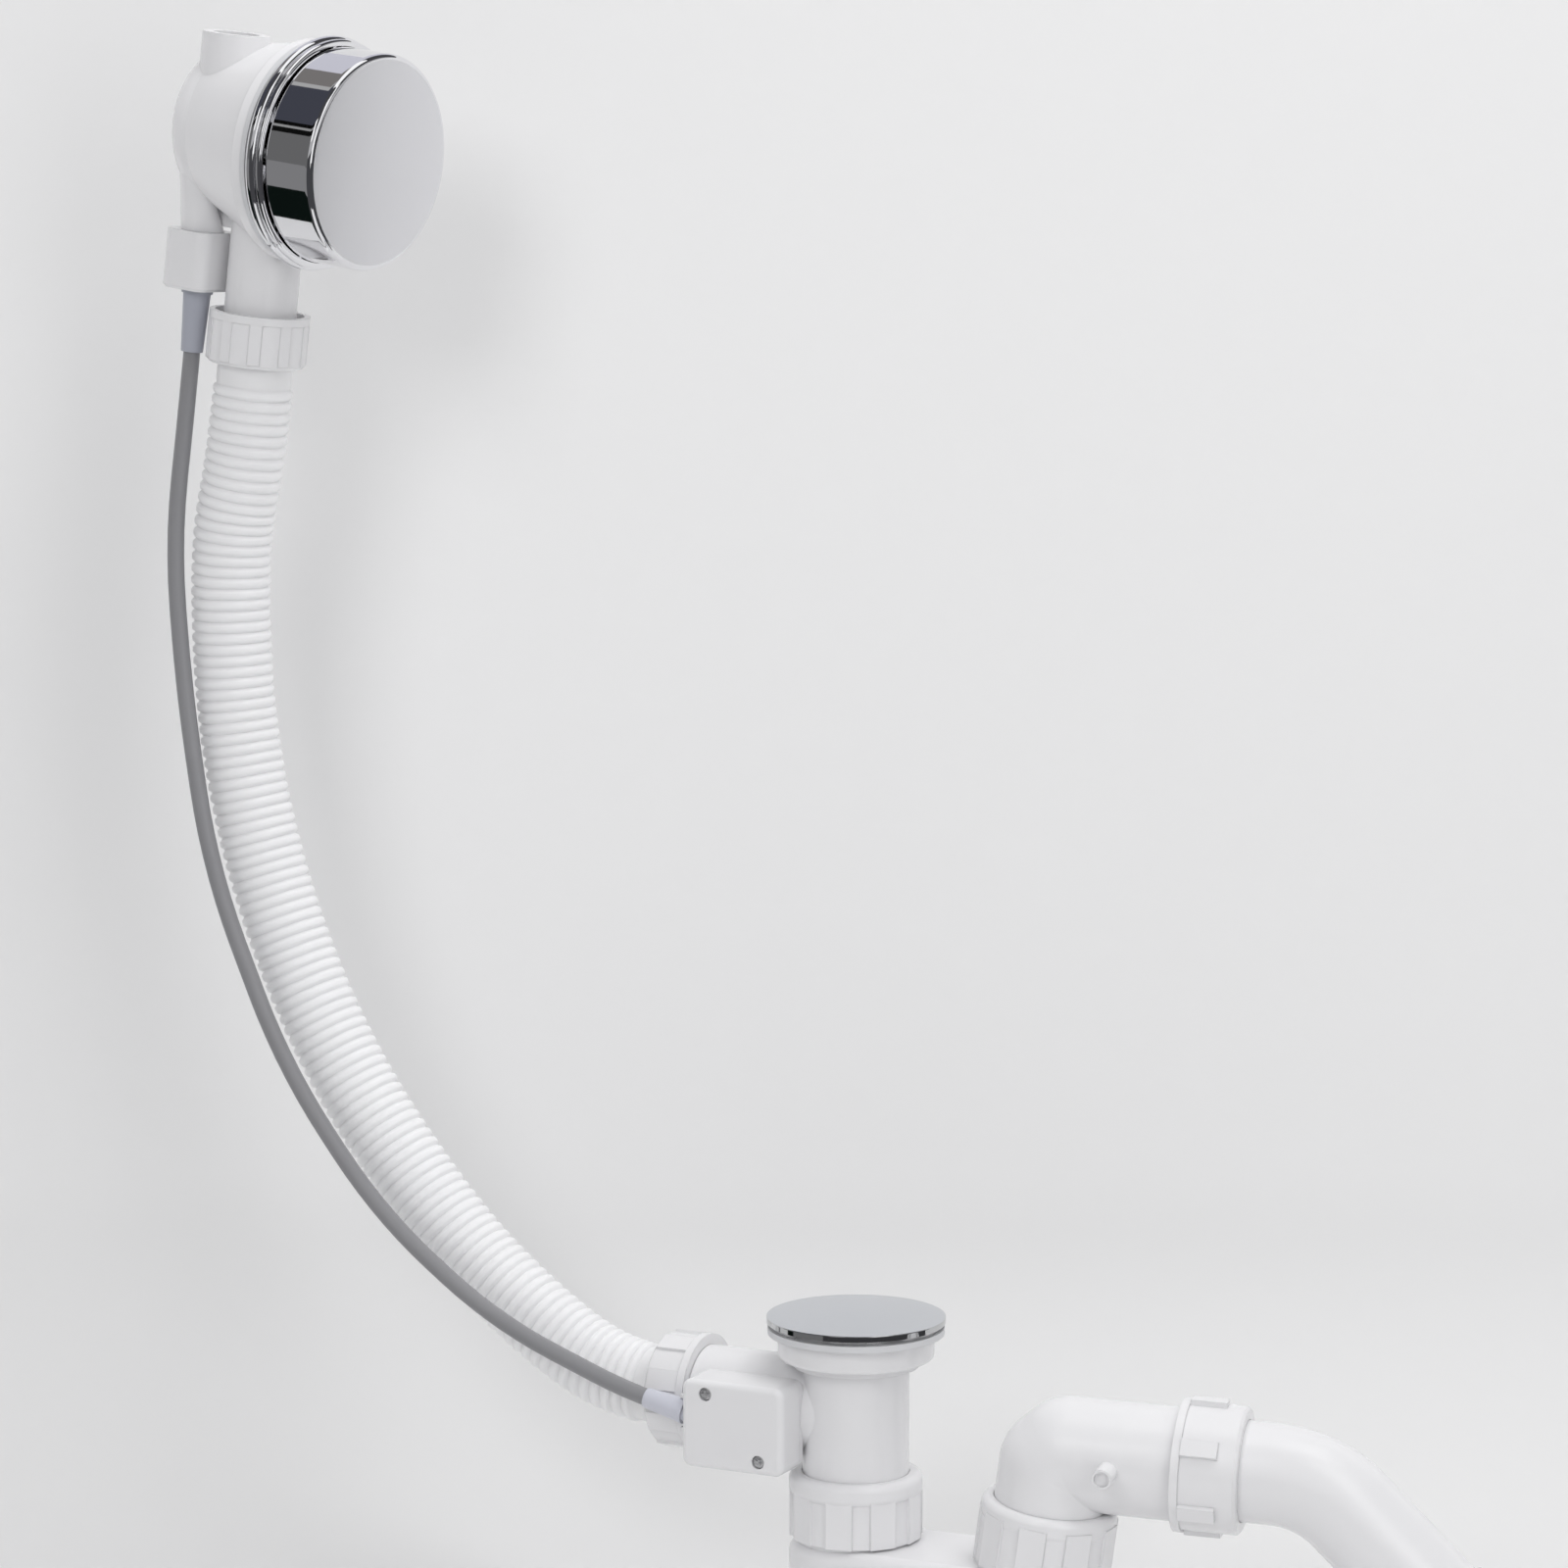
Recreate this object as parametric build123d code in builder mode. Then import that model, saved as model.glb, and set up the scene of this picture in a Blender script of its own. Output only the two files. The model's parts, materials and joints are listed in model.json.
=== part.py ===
from build123d import *
from math import asin, cos, degrees, radians, sin, tan
import os

# Pop-up bath waste with a turning-knob overflow, corrugated overflow hose, control cable, trap and outlet
# Frame: origin on the waste's axis at the bath seat, +Z up, +X from the overflow into the bath, millimetres

# Clearances
slip = 0.2           # radial play of pieces that are pushed together and stay
running = 0.05       # radial play of a turning or sliding shaft
free = 0.3           # gap between pieces that move past each other

# Plug, seal, stem and the parts clamped in the bath's outlet
plug_d = 72.0
plug_edge = 2.4
plug_dome = 1.6
plug_lift = 12.0
plug_break = 0.4
seal_d = 60.0
seal_w = 5.0
seal_t = 1.8
seal_proud = 0.4
boss_d = 13.0
stem_d = 6.0
stem_foot = 0.6
stem_nut_flats = 10.0
stem_nut_t = 2.4
boss_drop = 1.0
gasket_d = 71.0
gasket_bore = 46.0
gasket_t = 2.7
valve_rim_d = 68.0
valve_rim_t = 1.5
valve_cup_depth = 8.0
valve_wall = 1.3
valve_windows = 6
valve_window_w = 6.0
valve_window_rim = 3.9
screw_head_d = 15.0
screw_head_t = 2.6
screw_d = 10.0
screw_length = 14.0

# Waste body
waste_flange_d = 63.0
waste_flange_h = 10.0
waste_flange_edge = 2.0
waste_step_d = 51.0
waste_step_h = 3.0
waste_tube_d = 43.0
waste_tube_wall = 2.5
waste_tube_end = -78.0
hub_d = 16.0
hub_h = 9.0
spoke_w = 3.0
spokes = 4
inlet_z = -32.0
inlet_d = 39.0
inlet_wall = 5.0
inlet_thread_d = 38.0
inlet_thread_length = 12.0
inlet_end_x = -78.5

# Mechanism box on the front of the waste body
box_w = 45.0
box_h = 36.0
box_depth = 16.0
box_x = -38.0
box_z = -35.5
box_wall = 2.0
box_corner = 4.0
box_edge = 2.5
plate_y = -20.0
plate_t = 3.0
block_margin = 3.0
block_back_y = -5.0
cover_screw_x = 11.75
cover_screw_z = 12.6
cover_screw_d = 3.0
cover_head_d = 5.0
cover_head_t = 1.8
cover_recess = 2.4
pillar_wall = 1.3
tab_size = 3.0

# Rocker between the cable and the plug's stem
rocker_x = -22.5
shaft_d = 6.0
shaft_square = 4.2
shaft_tip_d = 4.0
finger_w = 7.0
finger_h = 5.0
finger_tip_r = 3.0
arm_length = 15.0
arm_t = 3.6
arm_end_r = 2.6
arm_pin_d = 3.0
lever_hub_d = 9.0
bearing_h = 1.0

# Control cable
cable_d = 7.0
core_d = 2.0
core_bore = 2.6
core_bore_depth = 18.0
cable_dip = 12.0
cable_y = -29.5
cable_entry_z = -33.0
core_in_sheath = 8.0
corner_share = 0.45    # part of a run that the arc at its end may take
eye_wall = 1.3
ferrule_neck_d = 9.2
upper_ferrule_d = 11.6
upper_ferrule_tip_d = 9.2
upper_ferrule_length = 26.0
ferrule_flange_d = 13.0
ferrule_flange_t = 1.6
lower_ferrule_d = 10.4
lower_ferrule_tip_d = 8.2
lower_ferrule_length = 18.0
lower_neck_d = 8.0
lower_neck_length = 5.0
cable_lead_top = 54.0
cable_lead_bottom = 34.0
cable_route = [(-308.0, -13.5, 306.0), (-301.5, -17.0, 245.0), (-288.0, -20.5, 171.5), (-252.0, -22.5, 90.5),
               (-205.5, -24.5, 33.0), (-150.0, -27.5, -5.5)]

# Overflow head: axial places are measured along the knob's axis from the spigot's axis
overflow_x = -264.0
overflow_z = 470.0
head_tilt = 7.0
head_turn = 8.0
barrel_d = 68.0
barrel_rise = 5.0
barrel_rear = -33.0
barrel_break = -20.0
barrel_round = 11.0
rear_wall = 4.0
body_wall = 2.8
bell_front = 14.5
flange_lip = 1.5
head_flange_t = 4.5
spigot_d = 30.0
spigot_bore = 24.4
spigot_end = -84.0
spigot_thread_d = 34.0
spigot_thread_length = 12.0
filler_x = -14.5
filler_y = -13.5
filler_d = 28.0
filler_top = 43.8
filler_bore = 18.6
filler_thread = 16.0
filler_way = 14.0
drum_r = 10.0
drum_x = -26.1
drum_t = 5.0
drum_groove = 2.8
drum_flange = 3.0
spout_d = 8.0
spout_foot_d = 18.0
spout_top = -4.0
spout_x = -23.0
spout_y = -27.0
spout_web_t = 4.0
spout_web_foot = -36.0
nozzle_d = 14.0
nozzle_length = 11.0
clip_size = 22.6
clip_corner = 5.0
clip_offset = -0.6
clip_top = -38.5
clip_h = 24.5
clip_edge = 1.3
clip_socket = 8.0
screw_post_d = 8.4
screw_post_length = 25.0
screw_post_floor = 2.0
screw_margin = 1.4
rosette_screw_d = 4.0
rosette_head_d = 7.0
rosette_head_t = 2.4

# Knob, rosette, spindle and gasket
head_gasket_t = 2.5
head_gasket_w = 4.0
rosette_web = 2.5
rosette_front = 30.4
rosette_back_d = 88.0
ring_width = 4.6
lip_ring_width = 2.8
rim_step = 1.8
roll_height = 2.2
bead_height = 1.2
ring_wall = 2.6
rosette_corner = 3.0
bush_d = 16.0
bush_length = 6.5
drain_slot_l = 18.0
drain_slot_w = 10.0
drain_slot_r = 22.5
drain_slots = 6
knob_d = 88.4
knob_rear = 31.1
knob_side = 20.7
knob_bevel = 2.5
knob_dome = 1.0
knob_wall = 2.4
knob_hub_d = 18.0
knob_hub_length = 14.0
spindle_d = 10.0
spindle_grip = 11.0
spindle_neck_d = 8.0
spindle_tip_d = 6.0
clip_ring_d = 14.4
clip_ring_t = 1.0
clip_ring_depth = 0.8
clip_ring_gap = 6.0

# Overflow hose
hose_d = 33.0
hose_rib = 1.3
hose_wall = 1.5
hose_pitch = 11.0
hose_cuff_d = 31.0
hose_cuff = 9.0
hose_flange_d = 36.4
hose_flange_t = 2.0
hose_seal_t = 2.0
hose_lead_top = 38.0
hose_lead_bottom = 22.0
hose_route = [(-290.5, 297.0), (-284.5, 200.0), (-248.0, 102.0), (-188.0, 24.0), (-136.0, -17.0)]
upper_nut_d = 41.0
upper_nut_h = 21.5
lower_nut_d = 45.4
lower_nut_h = 18.5
nut_lip = 2.5
nut_edge = 1.2
nut_ring = 1.1
nut_ring_w = 3.4
hose_lug_from = 1.5
upper_nut_lugs = 10
upper_lug = 0.35
upper_lug_w = 5.2
upper_nut_ring = 0.3
lower_nut_lugs = 8
lower_lug = 0.7
lower_lug_w = 9.0

# Trap, elbow, union and outlet bend
trap_lip_z = -56.6
trap_nut_h = 26.4
trap_nut_collar_d = 54.0
trap_nut_collar_h = 9.0
trap_nut_wall = 1.6
trap_nut_lip = 3.4
trap_washer_t = 4.0
trap_collar_wall = 2.2
trap_lug = 0.6
trap_lugs = 9
trap_lug_w = 11.0
trap_collar_round = 3.0
trap_width = 54.0
trap_top_z = -84.0
trap_h = 48.0
trap_wall = 2.6
riser_way = 10.4
trap_top_edge = 6.0
trap_bottom_edge = 16.0
riser_x = 85.1
riser_lip_z = -59.0
riser_lean = 8.0
riser_in = 22.0
elbow_d = 45.0
elbow_wall = 2.4
elbow_rise = 20.5
elbow_knuckle = 5.0
arm_swivel = 12.0
arm_fall = 2.3
arm_end = 67.0
peg_at = 24.0
peg_d = 8.0
peg_out = 12.0
peg_dish = 2.0
peg_wall = 1.0
union_nut_d = 50.6
union_nut_h = 26.0
union_lip = 4.0
union_lug = 2.0
union_lugs = 6
union_lug_w = 7.0
union_lug_from = 8.0
union_washer_t = 4.0
outlet_d = 40.0
outlet_wall = 2.0
outlet_in = 18.0
outlet_corner = 104.0
outlet_bend_r = 45.0
outlet_turn = 42.5
outlet_run = 112.0
bead_at = 68.0
bead_d = 43.6
bead_w = 3.0


# Places worked out from the sizes above
stack_z = gasket_t + valve_rim_t
plug_under_z = stack_z + seal_proud
plug_rim_z = plug_under_z + plug_edge
cup_floor_z = stack_z - valve_cup_depth
web_top_z = cup_floor_z + valve_wall
tube_r = waste_tube_d / 2
tube_bore_r = tube_r - waste_tube_wall
inlet_bore_r = inlet_d / 2 - inlet_wall
cover_front_y = plate_y - box_depth
cover_left_x = box_x - box_w / 2
cover_points = [(box_x - cover_screw_x, box_z + cover_screw_z),
                (box_x + cover_screw_x, box_z - cover_screw_z)]

# The rocker lifts the stem by the plug's stroke, and its arm follows the cable's line inside the box
rock_half = degrees(asin(plug_lift / (2 * -rocker_x)))
cable_dir = Vector(cos(radians(cable_dip)), 0, -sin(radians(cable_dip)))
arm_mid = Vector(-sin(radians(cable_dip)), 0, -cos(radians(cable_dip)))
entry = Vector(cover_left_x, cable_y, cable_entry_z)
arm_mid_x = rocker_x + arm_mid.X * arm_length
arm_mid_z = entry.Z - tan(radians(cable_dip)) * (arm_mid_x - entry.X)
rocker_z = arm_mid_z - arm_mid.Z * arm_length
core_travel = 2 * arm_length * sin(radians(rock_half))
knob_turn = degrees(core_travel / drum_r)
arm_rest = arm_mid * cos(radians(rock_half)) - cable_dir * sin(radians(rock_half))
arm_tip = Vector(rocker_x, 0, rocker_z) + arm_rest * arm_length
eye_centre = Vector(arm_mid_x, cable_y, arm_mid_z) - cable_dir * (core_travel / 2)
finger_tip = Vector(rocker_x - rocker_x * cos(radians(rock_half)), 0,
                    rocker_z + rocker_x * sin(radians(rock_half)))
stem_end_z = finger_tip.Z + finger_tip_r + free
print("knob turns", round(knob_turn, 2), "rocker", round(2 * rock_half, 2))
print("core travel", round(core_travel, 3))

# Head frame: x along the knob's axis out of the wall, z up the spigot
spigot_up = Vector(sin(radians(head_tilt)), 0, cos(radians(head_tilt)))
level = Vector(cos(radians(head_tilt)), 0, -sin(radians(head_tilt)))
knob_dir = level * cos(radians(head_turn)) - Vector(0, 1, 0) * sin(radians(head_turn))
head = Plane(origin=(overflow_x, 0, overflow_z), x_dir=knob_dir, z_dir=spigot_up)
head_section = Plane(origin=head.origin, x_dir=head.x_dir, z_dir=head.y_dir * -1)
knob_axis = Axis(head.origin, head.x_dir)


def head_point(along, side=0.0, up=0.0):
    return head.origin + head.x_dir * along + head.y_dir * side + head.z_dir * up


def across_knob(along, side=0.0, up=0.0):
    """Plane square to the knob's axis, facing out of the wall."""
    return Plane(origin=head_point(along, side, up), x_dir=head.y_dir, z_dir=head.x_dir)


def across_spigot(up, along=0.0, side=0.0):
    """Plane square to the spigot, facing up."""
    return Plane(origin=head_point(along, side, up), x_dir=head.x_dir, z_dir=head.z_dir)


flange_face = bell_front + head_flange_t
rosette_seat = flange_face + head_gasket_t
bell_d = rosette_back_d
head_flange_d = bell_d + 2 * flange_lip
ring_groove_d = rosette_back_d + 2 * rim_step
rosette_d = ring_groove_d + 2 * roll_height
rosette_lip_d = ring_groove_d + 2 * bead_height
rosette_web_r = rosette_back_d / 2 - ring_wall - rosette_corner
screw_circle_r = rosette_web_r - rosette_head_d / 2 - screw_margin
web_front = rosette_seat + rosette_web
clip_bottom = clip_top - clip_h
core_y = -drum_r
filler_foot = filler_top - filler_thread - body_wall
knob_front = knob_rear + knob_side + knob_bevel
hub_rear = knob_front - knob_wall - knob_hub_length
spindle_end = hub_rear + spindle_grip

# Riser and arm frames
riser = Plane(origin=(riser_x, 0, riser_lip_z),
              x_dir=(cos(radians(riser_lean)), 0, -sin(radians(riser_lean))),
              z_dir=(sin(radians(riser_lean)), 0, cos(radians(riser_lean))))
arm_level = Vector(cos(radians(arm_swivel)), sin(radians(arm_swivel)), 0)
arm_side = Vector(-sin(radians(arm_swivel)), cos(radians(arm_swivel)), 0)
arm_dir = arm_level * cos(radians(arm_fall)) - Vector(0, 0, 1) * sin(radians(arm_fall))
elbow_corner = riser.origin + riser.z_dir * elbow_rise
fall_end = radians(arm_fall + outlet_turn)
outlet_dir = arm_level * cos(fall_end) - Vector(0, 0, 1) * sin(fall_end)
outlet_corner_point = elbow_corner + arm_dir * outlet_corner


def across_arm(along):
    """Plane square to the elbow's arm, facing the outlet."""
    return Plane(origin=elbow_corner + arm_dir * along, x_dir=arm_side, z_dir=arm_dir)


def across_outlet(along):
    """Plane square to the outlet's lower run, facing its open end."""
    return Plane(origin=outlet_corner_point + outlet_dir * along, x_dir=arm_side, z_dir=outlet_dir)


def bend_radii(points):
    """Largest arcs that the runs on both sides of each corner leave room for."""
    radii = []
    for before, corner, after in zip(points, points[1:], points[2:]):
        run_in = corner - before
        run_out = after - corner
        turn = radians(run_in.get_angle(run_out))
        radii.append(corner_share * min(run_in.length, run_out.length) / tan(turn / 2))
    return radii


def crown_points(base, edge_r, rise):
    """Middle and top of a crowned face's arc, as (place along the axis, radius)."""
    ball_r = (edge_r ** 2 + rise ** 2) / (2 * rise)
    half = asin(edge_r / ball_r) / 2
    return (base + rise - ball_r * (1 - cos(half)), ball_r * sin(half)), (base + rise, 0)


def washer(seat, outer_r, inner_r, thickness):
    """Flat ring standing on a plane."""
    with BuildPart() as ring:
        with BuildSketch(seat):
            Circle(outer_r)
            Circle(inner_r, mode=Mode.SUBTRACT)
        extrude(amount=thickness)
    return ring


def grip_nut(lip_face, height, outer_r, lip, hole_r, inside_r, lugs, lug_proud, lug_w, lug_from, ring):
    """Cap nut with grip lugs and a ring at its open end; its holed lip stands on the plane."""
    with BuildPart() as nut:
        with BuildSketch(lip_face):
            Circle(outer_r)
        extrude(amount=height)
        rims = nut.edges().filter_by(GeomType.CIRCLE).sort_by(Axis(lip_face.origin, lip_face.z_dir))
        chamfer(rims[0], length=nut_edge)
        with BuildSketch(lip_face.offset(height - nut_ring_w)):
            Circle(outer_r + ring)
        extrude(amount=nut_ring_w)
        with BuildSketch(lip_face.offset(lug_from)):
            with PolarLocations(outer_r, lugs, start_angle=180 / lugs):
                Rectangle(2 * lug_proud, lug_w)
        extrude(amount=height - nut_ring_w - lug_from)
        with BuildSketch(lip_face):
            Circle(hole_r)
        extrude(amount=height, mode=Mode.SUBTRACT)
        with BuildSketch(lip_face.offset(lip)):
            Circle(inside_r)
        extrude(amount=height - lip, mode=Mode.SUBTRACT)
    return nut


def trap_nut(lip_up, tube_radius):
    """Trap nut: a rounded collar above a lugged skirt, hung from the plane of its lip."""
    inside_r = tube_radius + slip + trap_collar_wall + slip
    skirt_r = inside_r + trap_nut_wall
    collar_r = trap_nut_collar_d / 2
    with BuildPart() as nut:
        with BuildSketch(lip_up.offset(-trap_nut_collar_h)):
            Circle(collar_r)
        extrude(amount=trap_nut_collar_h)
        fillet(nut.edges().filter_by(GeomType.CIRCLE), radius=trap_collar_round)
        with BuildSketch(lip_up.offset(-trap_nut_h)):
            Circle(skirt_r)
            with PolarLocations(skirt_r, trap_lugs):
                Rectangle(2 * trap_lug, trap_lug_w)
        extrude(amount=trap_nut_h - trap_nut_collar_h / 2)
        with BuildSketch(lip_up):
            Circle(tube_radius + slip)
        extrude(amount=-trap_nut_h, mode=Mode.SUBTRACT)
        with BuildSketch(lip_up.offset(-trap_nut_lip)):
            Circle(inside_r)
        extrude(amount=trap_nut_lip - trap_nut_h, mode=Mode.SUBTRACT)
    return nut


# Chrome knob: a deep cup with a bevelled, slightly crowned face and an inner hub on the spindle
with BuildPart() as knob:
    with BuildSketch(head_section):
        with BuildLine():
            edge_r = knob_d / 2 - knob_bevel
            crown = ThreePointArc((knob_front, edge_r), *crown_points(knob_front, edge_r, knob_dome))
            Polyline(crown @ 1, (spindle_end + free, 0), (spindle_end + free, spindle_d / 2 + running),
                     (hub_rear, spindle_d / 2 + running), (hub_rear, knob_hub_d / 2),
                     (knob_front - knob_wall, knob_hub_d / 2),
                     (knob_front - knob_wall, knob_d / 2 - knob_wall),
                     (knob_rear, knob_d / 2 - knob_wall), (knob_rear, knob_d / 2),
                     (knob_front - knob_bevel, knob_d / 2), crown @ 0)
        make_face()
    revolve(axis=knob_axis)

# Spindle with a rear journal, a neck for the drum and a groove for its retaining clip
clip_groove = rosette_seat + bush_length + free
with BuildPart() as knob_spindle:
    with BuildSketch(head_section):
        with BuildLine():
            neck_rear = drum_x - drum_t / 2
            neck_front = drum_x + drum_t / 2 + slip
            Polyline((barrel_rear + rear_wall - spindle_tip_d / 2, 0),
                     (barrel_rear + rear_wall - spindle_tip_d / 2, spindle_tip_d / 2),
                     (neck_rear, spindle_tip_d / 2), (neck_rear, spindle_neck_d / 2),
                     (neck_front, spindle_neck_d / 2), (neck_front, spindle_d / 2),
                     (clip_groove, spindle_d / 2), (clip_groove, spindle_d / 2 - clip_ring_depth),
                     (clip_groove + clip_ring_t + slip, spindle_d / 2 - clip_ring_depth),
                     (clip_groove + clip_ring_t + slip, spindle_d / 2), (spindle_end, spindle_d / 2),
                     (spindle_end, 0), close=True)
        make_face()
    revolve(axis=knob_axis)

# Open retaining clip in the spindle's groove, in front of the rosette's bush
with BuildPart() as spindle_clip:
    with BuildSketch(across_knob(clip_groove + slip / 2)):
        Circle(clip_ring_d / 2)
        Circle(spindle_d / 2 - clip_ring_depth + running, mode=Mode.SUBTRACT)
        with Locations((0, -clip_ring_d / 2)):
            Rectangle(clip_ring_gap, clip_ring_d / 2, mode=Mode.SUBTRACT)
    extrude(amount=clip_ring_t)

# Grooved drum that the control cable's core runs on
with BuildPart() as cable_drum:
    with BuildSketch(head_section):
        with BuildLine():
            groove_r = drum_r - core_d / 2 - free
            flange_r = drum_r + drum_flange
            hole_r = spindle_neck_d / 2 + running
            Polyline((drum_x - drum_t / 2, hole_r), (drum_x - drum_t / 2, flange_r),
                     (drum_x - drum_groove / 2, flange_r), (drum_x - drum_groove / 2, groove_r),
                     (drum_x + drum_groove / 2, groove_r), (drum_x + drum_groove / 2, flange_r),
                     (drum_x + drum_t / 2, flange_r), (drum_x + drum_t / 2, hole_r), close=True)
        make_face()
    revolve(axis=knob_axis)

# Chrome rosette: a dished plate with drain slots, a bush for the spindle and a stepped, rolled rim
with BuildPart() as overflow_rosette:
    with BuildSketch(head_section):
        with BuildLine():
            rim_r = rosette_d / 2
            lip_r = rosette_lip_d / 2
            groove_r = ring_groove_d / 2
            ring_back = rosette_front - lip_ring_width - ring_width
            roll = ThreePointArc((ring_back, groove_r), (ring_back + ring_width / 2, rim_r),
                                 (ring_back + ring_width, groove_r))
            bead = ThreePointArc(roll @ 1, (rosette_front - lip_ring_width / 2, lip_r),
                                 (rosette_front, groove_r))
            Polyline(bead @ 1, (rosette_front, lip_r - ring_wall),
                     (web_front + rosette_corner, rosette_back_d / 2 - ring_wall),
                     (web_front, rosette_web_r), (web_front, bush_d / 2),
                     (rosette_seat + bush_length, bush_d / 2),
                     (rosette_seat + bush_length, spindle_d / 2 + running),
                     (rosette_seat, spindle_d / 2 + running), (rosette_seat, rosette_back_d / 2), roll @ 0)
        make_face()
    revolve(axis=knob_axis)
    with BuildSketch(across_knob(rosette_seat)):
        with PolarLocations(drain_slot_r, drain_slots, start_angle=180 / drain_slots):
            SlotOverall(drain_slot_l, drain_slot_w)
        with Locations((screw_circle_r, 0), (-screw_circle_r, 0)):
            Circle(rosette_screw_d / 2 + slip)
    extrude(amount=rosette_web, mode=Mode.SUBTRACT)

# Two screws that draw the rosette to the head through the bath's wall
with BuildPart() as rosette_screws:
    with BuildSketch(across_knob(web_front)):
        with Locations((screw_circle_r, 0), (-screw_circle_r, 0)):
            Circle(rosette_head_d / 2)
    extrude(amount=rosette_head_t)
    with BuildSketch(across_knob(web_front)):
        with Locations((screw_circle_r, 0), (-screw_circle_r, 0)):
            Circle(rosette_screw_d / 2)
    extrude(amount=-(web_front - flange_face + screw_post_length - screw_post_floor))

# Rubber ring between the head and the outside of the bath's wall
head_gasket_r = head_flange_d / 2
overflow_gasket = washer(across_knob(flange_face), head_gasket_r, head_gasket_r - head_gasket_w,
                         head_gasket_t)

# White overflow head: bell and barrel with the hose spigot, filler stub and cable spout in one moulding
with BuildPart() as overflow_body:
    with BuildSketch(across_knob(barrel_rear, 0, barrel_rise)):
        Circle(barrel_d / 2)
    extrude(amount=barrel_break - barrel_rear)
    fillet(overflow_body.edges().filter_by(GeomType.CIRCLE).sort_by(knob_axis)[0], radius=barrel_round)
    with BuildSketch(across_knob(barrel_break, 0, barrel_rise)):
        Circle(barrel_d / 2)
    with BuildSketch(across_knob(bell_front)):
        Circle(bell_d / 2)
    loft()
    with BuildSketch(across_knob(bell_front)):
        Circle(head_flange_d / 2)
    extrude(amount=head_flange_t)
    with BuildSketch(across_spigot(spigot_end)):
        Circle(spigot_d / 2)
    extrude(amount=-spigot_end - body_wall)
    with BuildSketch(across_spigot(spigot_end)):
        Circle(spigot_thread_d / 2)
    extrude(amount=spigot_thread_length)
    with BuildSketch(across_spigot(clip_top, drum_x, core_y)):
        Circle(spout_foot_d / 2)
    with BuildSketch(across_spigot(spout_top, spout_x, spout_y)):
        Circle(spout_d / 2)
    loft()
    with BuildSketch(across_spigot(spout_web_foot, drum_x / 2, core_y / 2)):
        Rectangle(-drum_x, spout_web_t)
    extrude(amount=-spout_web_foot)
    with BuildSketch(across_spigot(clip_top, drum_x, core_y)):
        Circle(nozzle_d / 2)
    extrude(amount=-nozzle_length)
    with BuildSketch(across_knob(barrel_rear + rear_wall, 0, barrel_rise)):
        Circle(barrel_d / 2 - body_wall)
    extrude(amount=barrel_break - barrel_rear - rear_wall, mode=Mode.SUBTRACT)
    with BuildSketch(across_knob(barrel_break, 0, barrel_rise)):
        Circle(barrel_d / 2 - body_wall)
    with BuildSketch(across_knob(bell_front)):
        Circle(bell_d / 2 - body_wall)
    loft(mode=Mode.SUBTRACT)
    with BuildSketch(across_knob(bell_front)):
        Circle(bell_d / 2 - body_wall)
    extrude(amount=head_flange_t, mode=Mode.SUBTRACT)
    with BuildSketch(across_spigot(spigot_end)):
        Circle(spigot_bore / 2)
    extrude(amount=-spigot_end - spigot_d / 2, mode=Mode.SUBTRACT)
    with BuildSketch(across_spigot(filler_foot, filler_x, filler_y)):
        Circle(filler_d / 2)
    extrude(amount=filler_top - filler_foot)
    with BuildSketch(across_spigot(filler_top, filler_x, filler_y)):
        Circle(filler_bore / 2)
    extrude(amount=-filler_thread, mode=Mode.SUBTRACT)
    with BuildSketch(across_spigot(filler_foot, filler_x, filler_y)):
        Circle(filler_way / 2)
    extrude(amount=body_wall, mode=Mode.SUBTRACT)
    with BuildSketch(across_spigot(clip_top - nozzle_length, drum_x, core_y)):
        Circle(core_d)
    extrude(amount=nozzle_length - clip_top, mode=Mode.SUBTRACT)
    with BuildSketch(across_knob(barrel_rear + rear_wall)):
        Circle(spindle_tip_d / 2 + running)
    extrude(amount=-spindle_tip_d / 2 - slip, mode=Mode.SUBTRACT)
    with BuildSketch(across_knob(flange_face - screw_post_length)):
        with Locations((screw_circle_r, 0), (-screw_circle_r, 0)):
            Circle(screw_post_d / 2)
    extrude(amount=screw_post_length)
    with BuildSketch(across_knob(flange_face - screw_post_length)):
        with Locations((screw_circle_r, 0), (-screw_circle_r, 0)):
            Circle(rosette_screw_d / 2 + slip)
    extrude(amount=screw_post_length, mode=Mode.SUBTRACT)

# White block clipped over the spout's nozzle, which holds the cable's upper end
with BuildPart() as cable_clip_housing:
    with BuildSketch(across_spigot(clip_bottom, drum_x + clip_offset, core_y)):
        RectangleRounded(clip_size, clip_size, clip_corner)
    extrude(amount=clip_h)
    chamfer(cable_clip_housing.faces().sort_by(Axis(head.origin, head.z_dir))[0].edges(), length=clip_edge)
    with BuildSketch(across_spigot(clip_top, drum_x, core_y)):
        Circle(nozzle_d / 2 + slip)
    extrude(amount=-nozzle_length - slip, mode=Mode.SUBTRACT)
    with BuildSketch(across_spigot(clip_bottom, drum_x, core_y)):
        Circle(ferrule_neck_d / 2 + slip)
    extrude(amount=clip_socket, mode=Mode.SUBTRACT)
    with BuildSketch(across_spigot(clip_bottom, drum_x, core_y)):
        Circle(core_d / 2 + free)
    extrude(amount=clip_h, mode=Mode.SUBTRACT)

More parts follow.
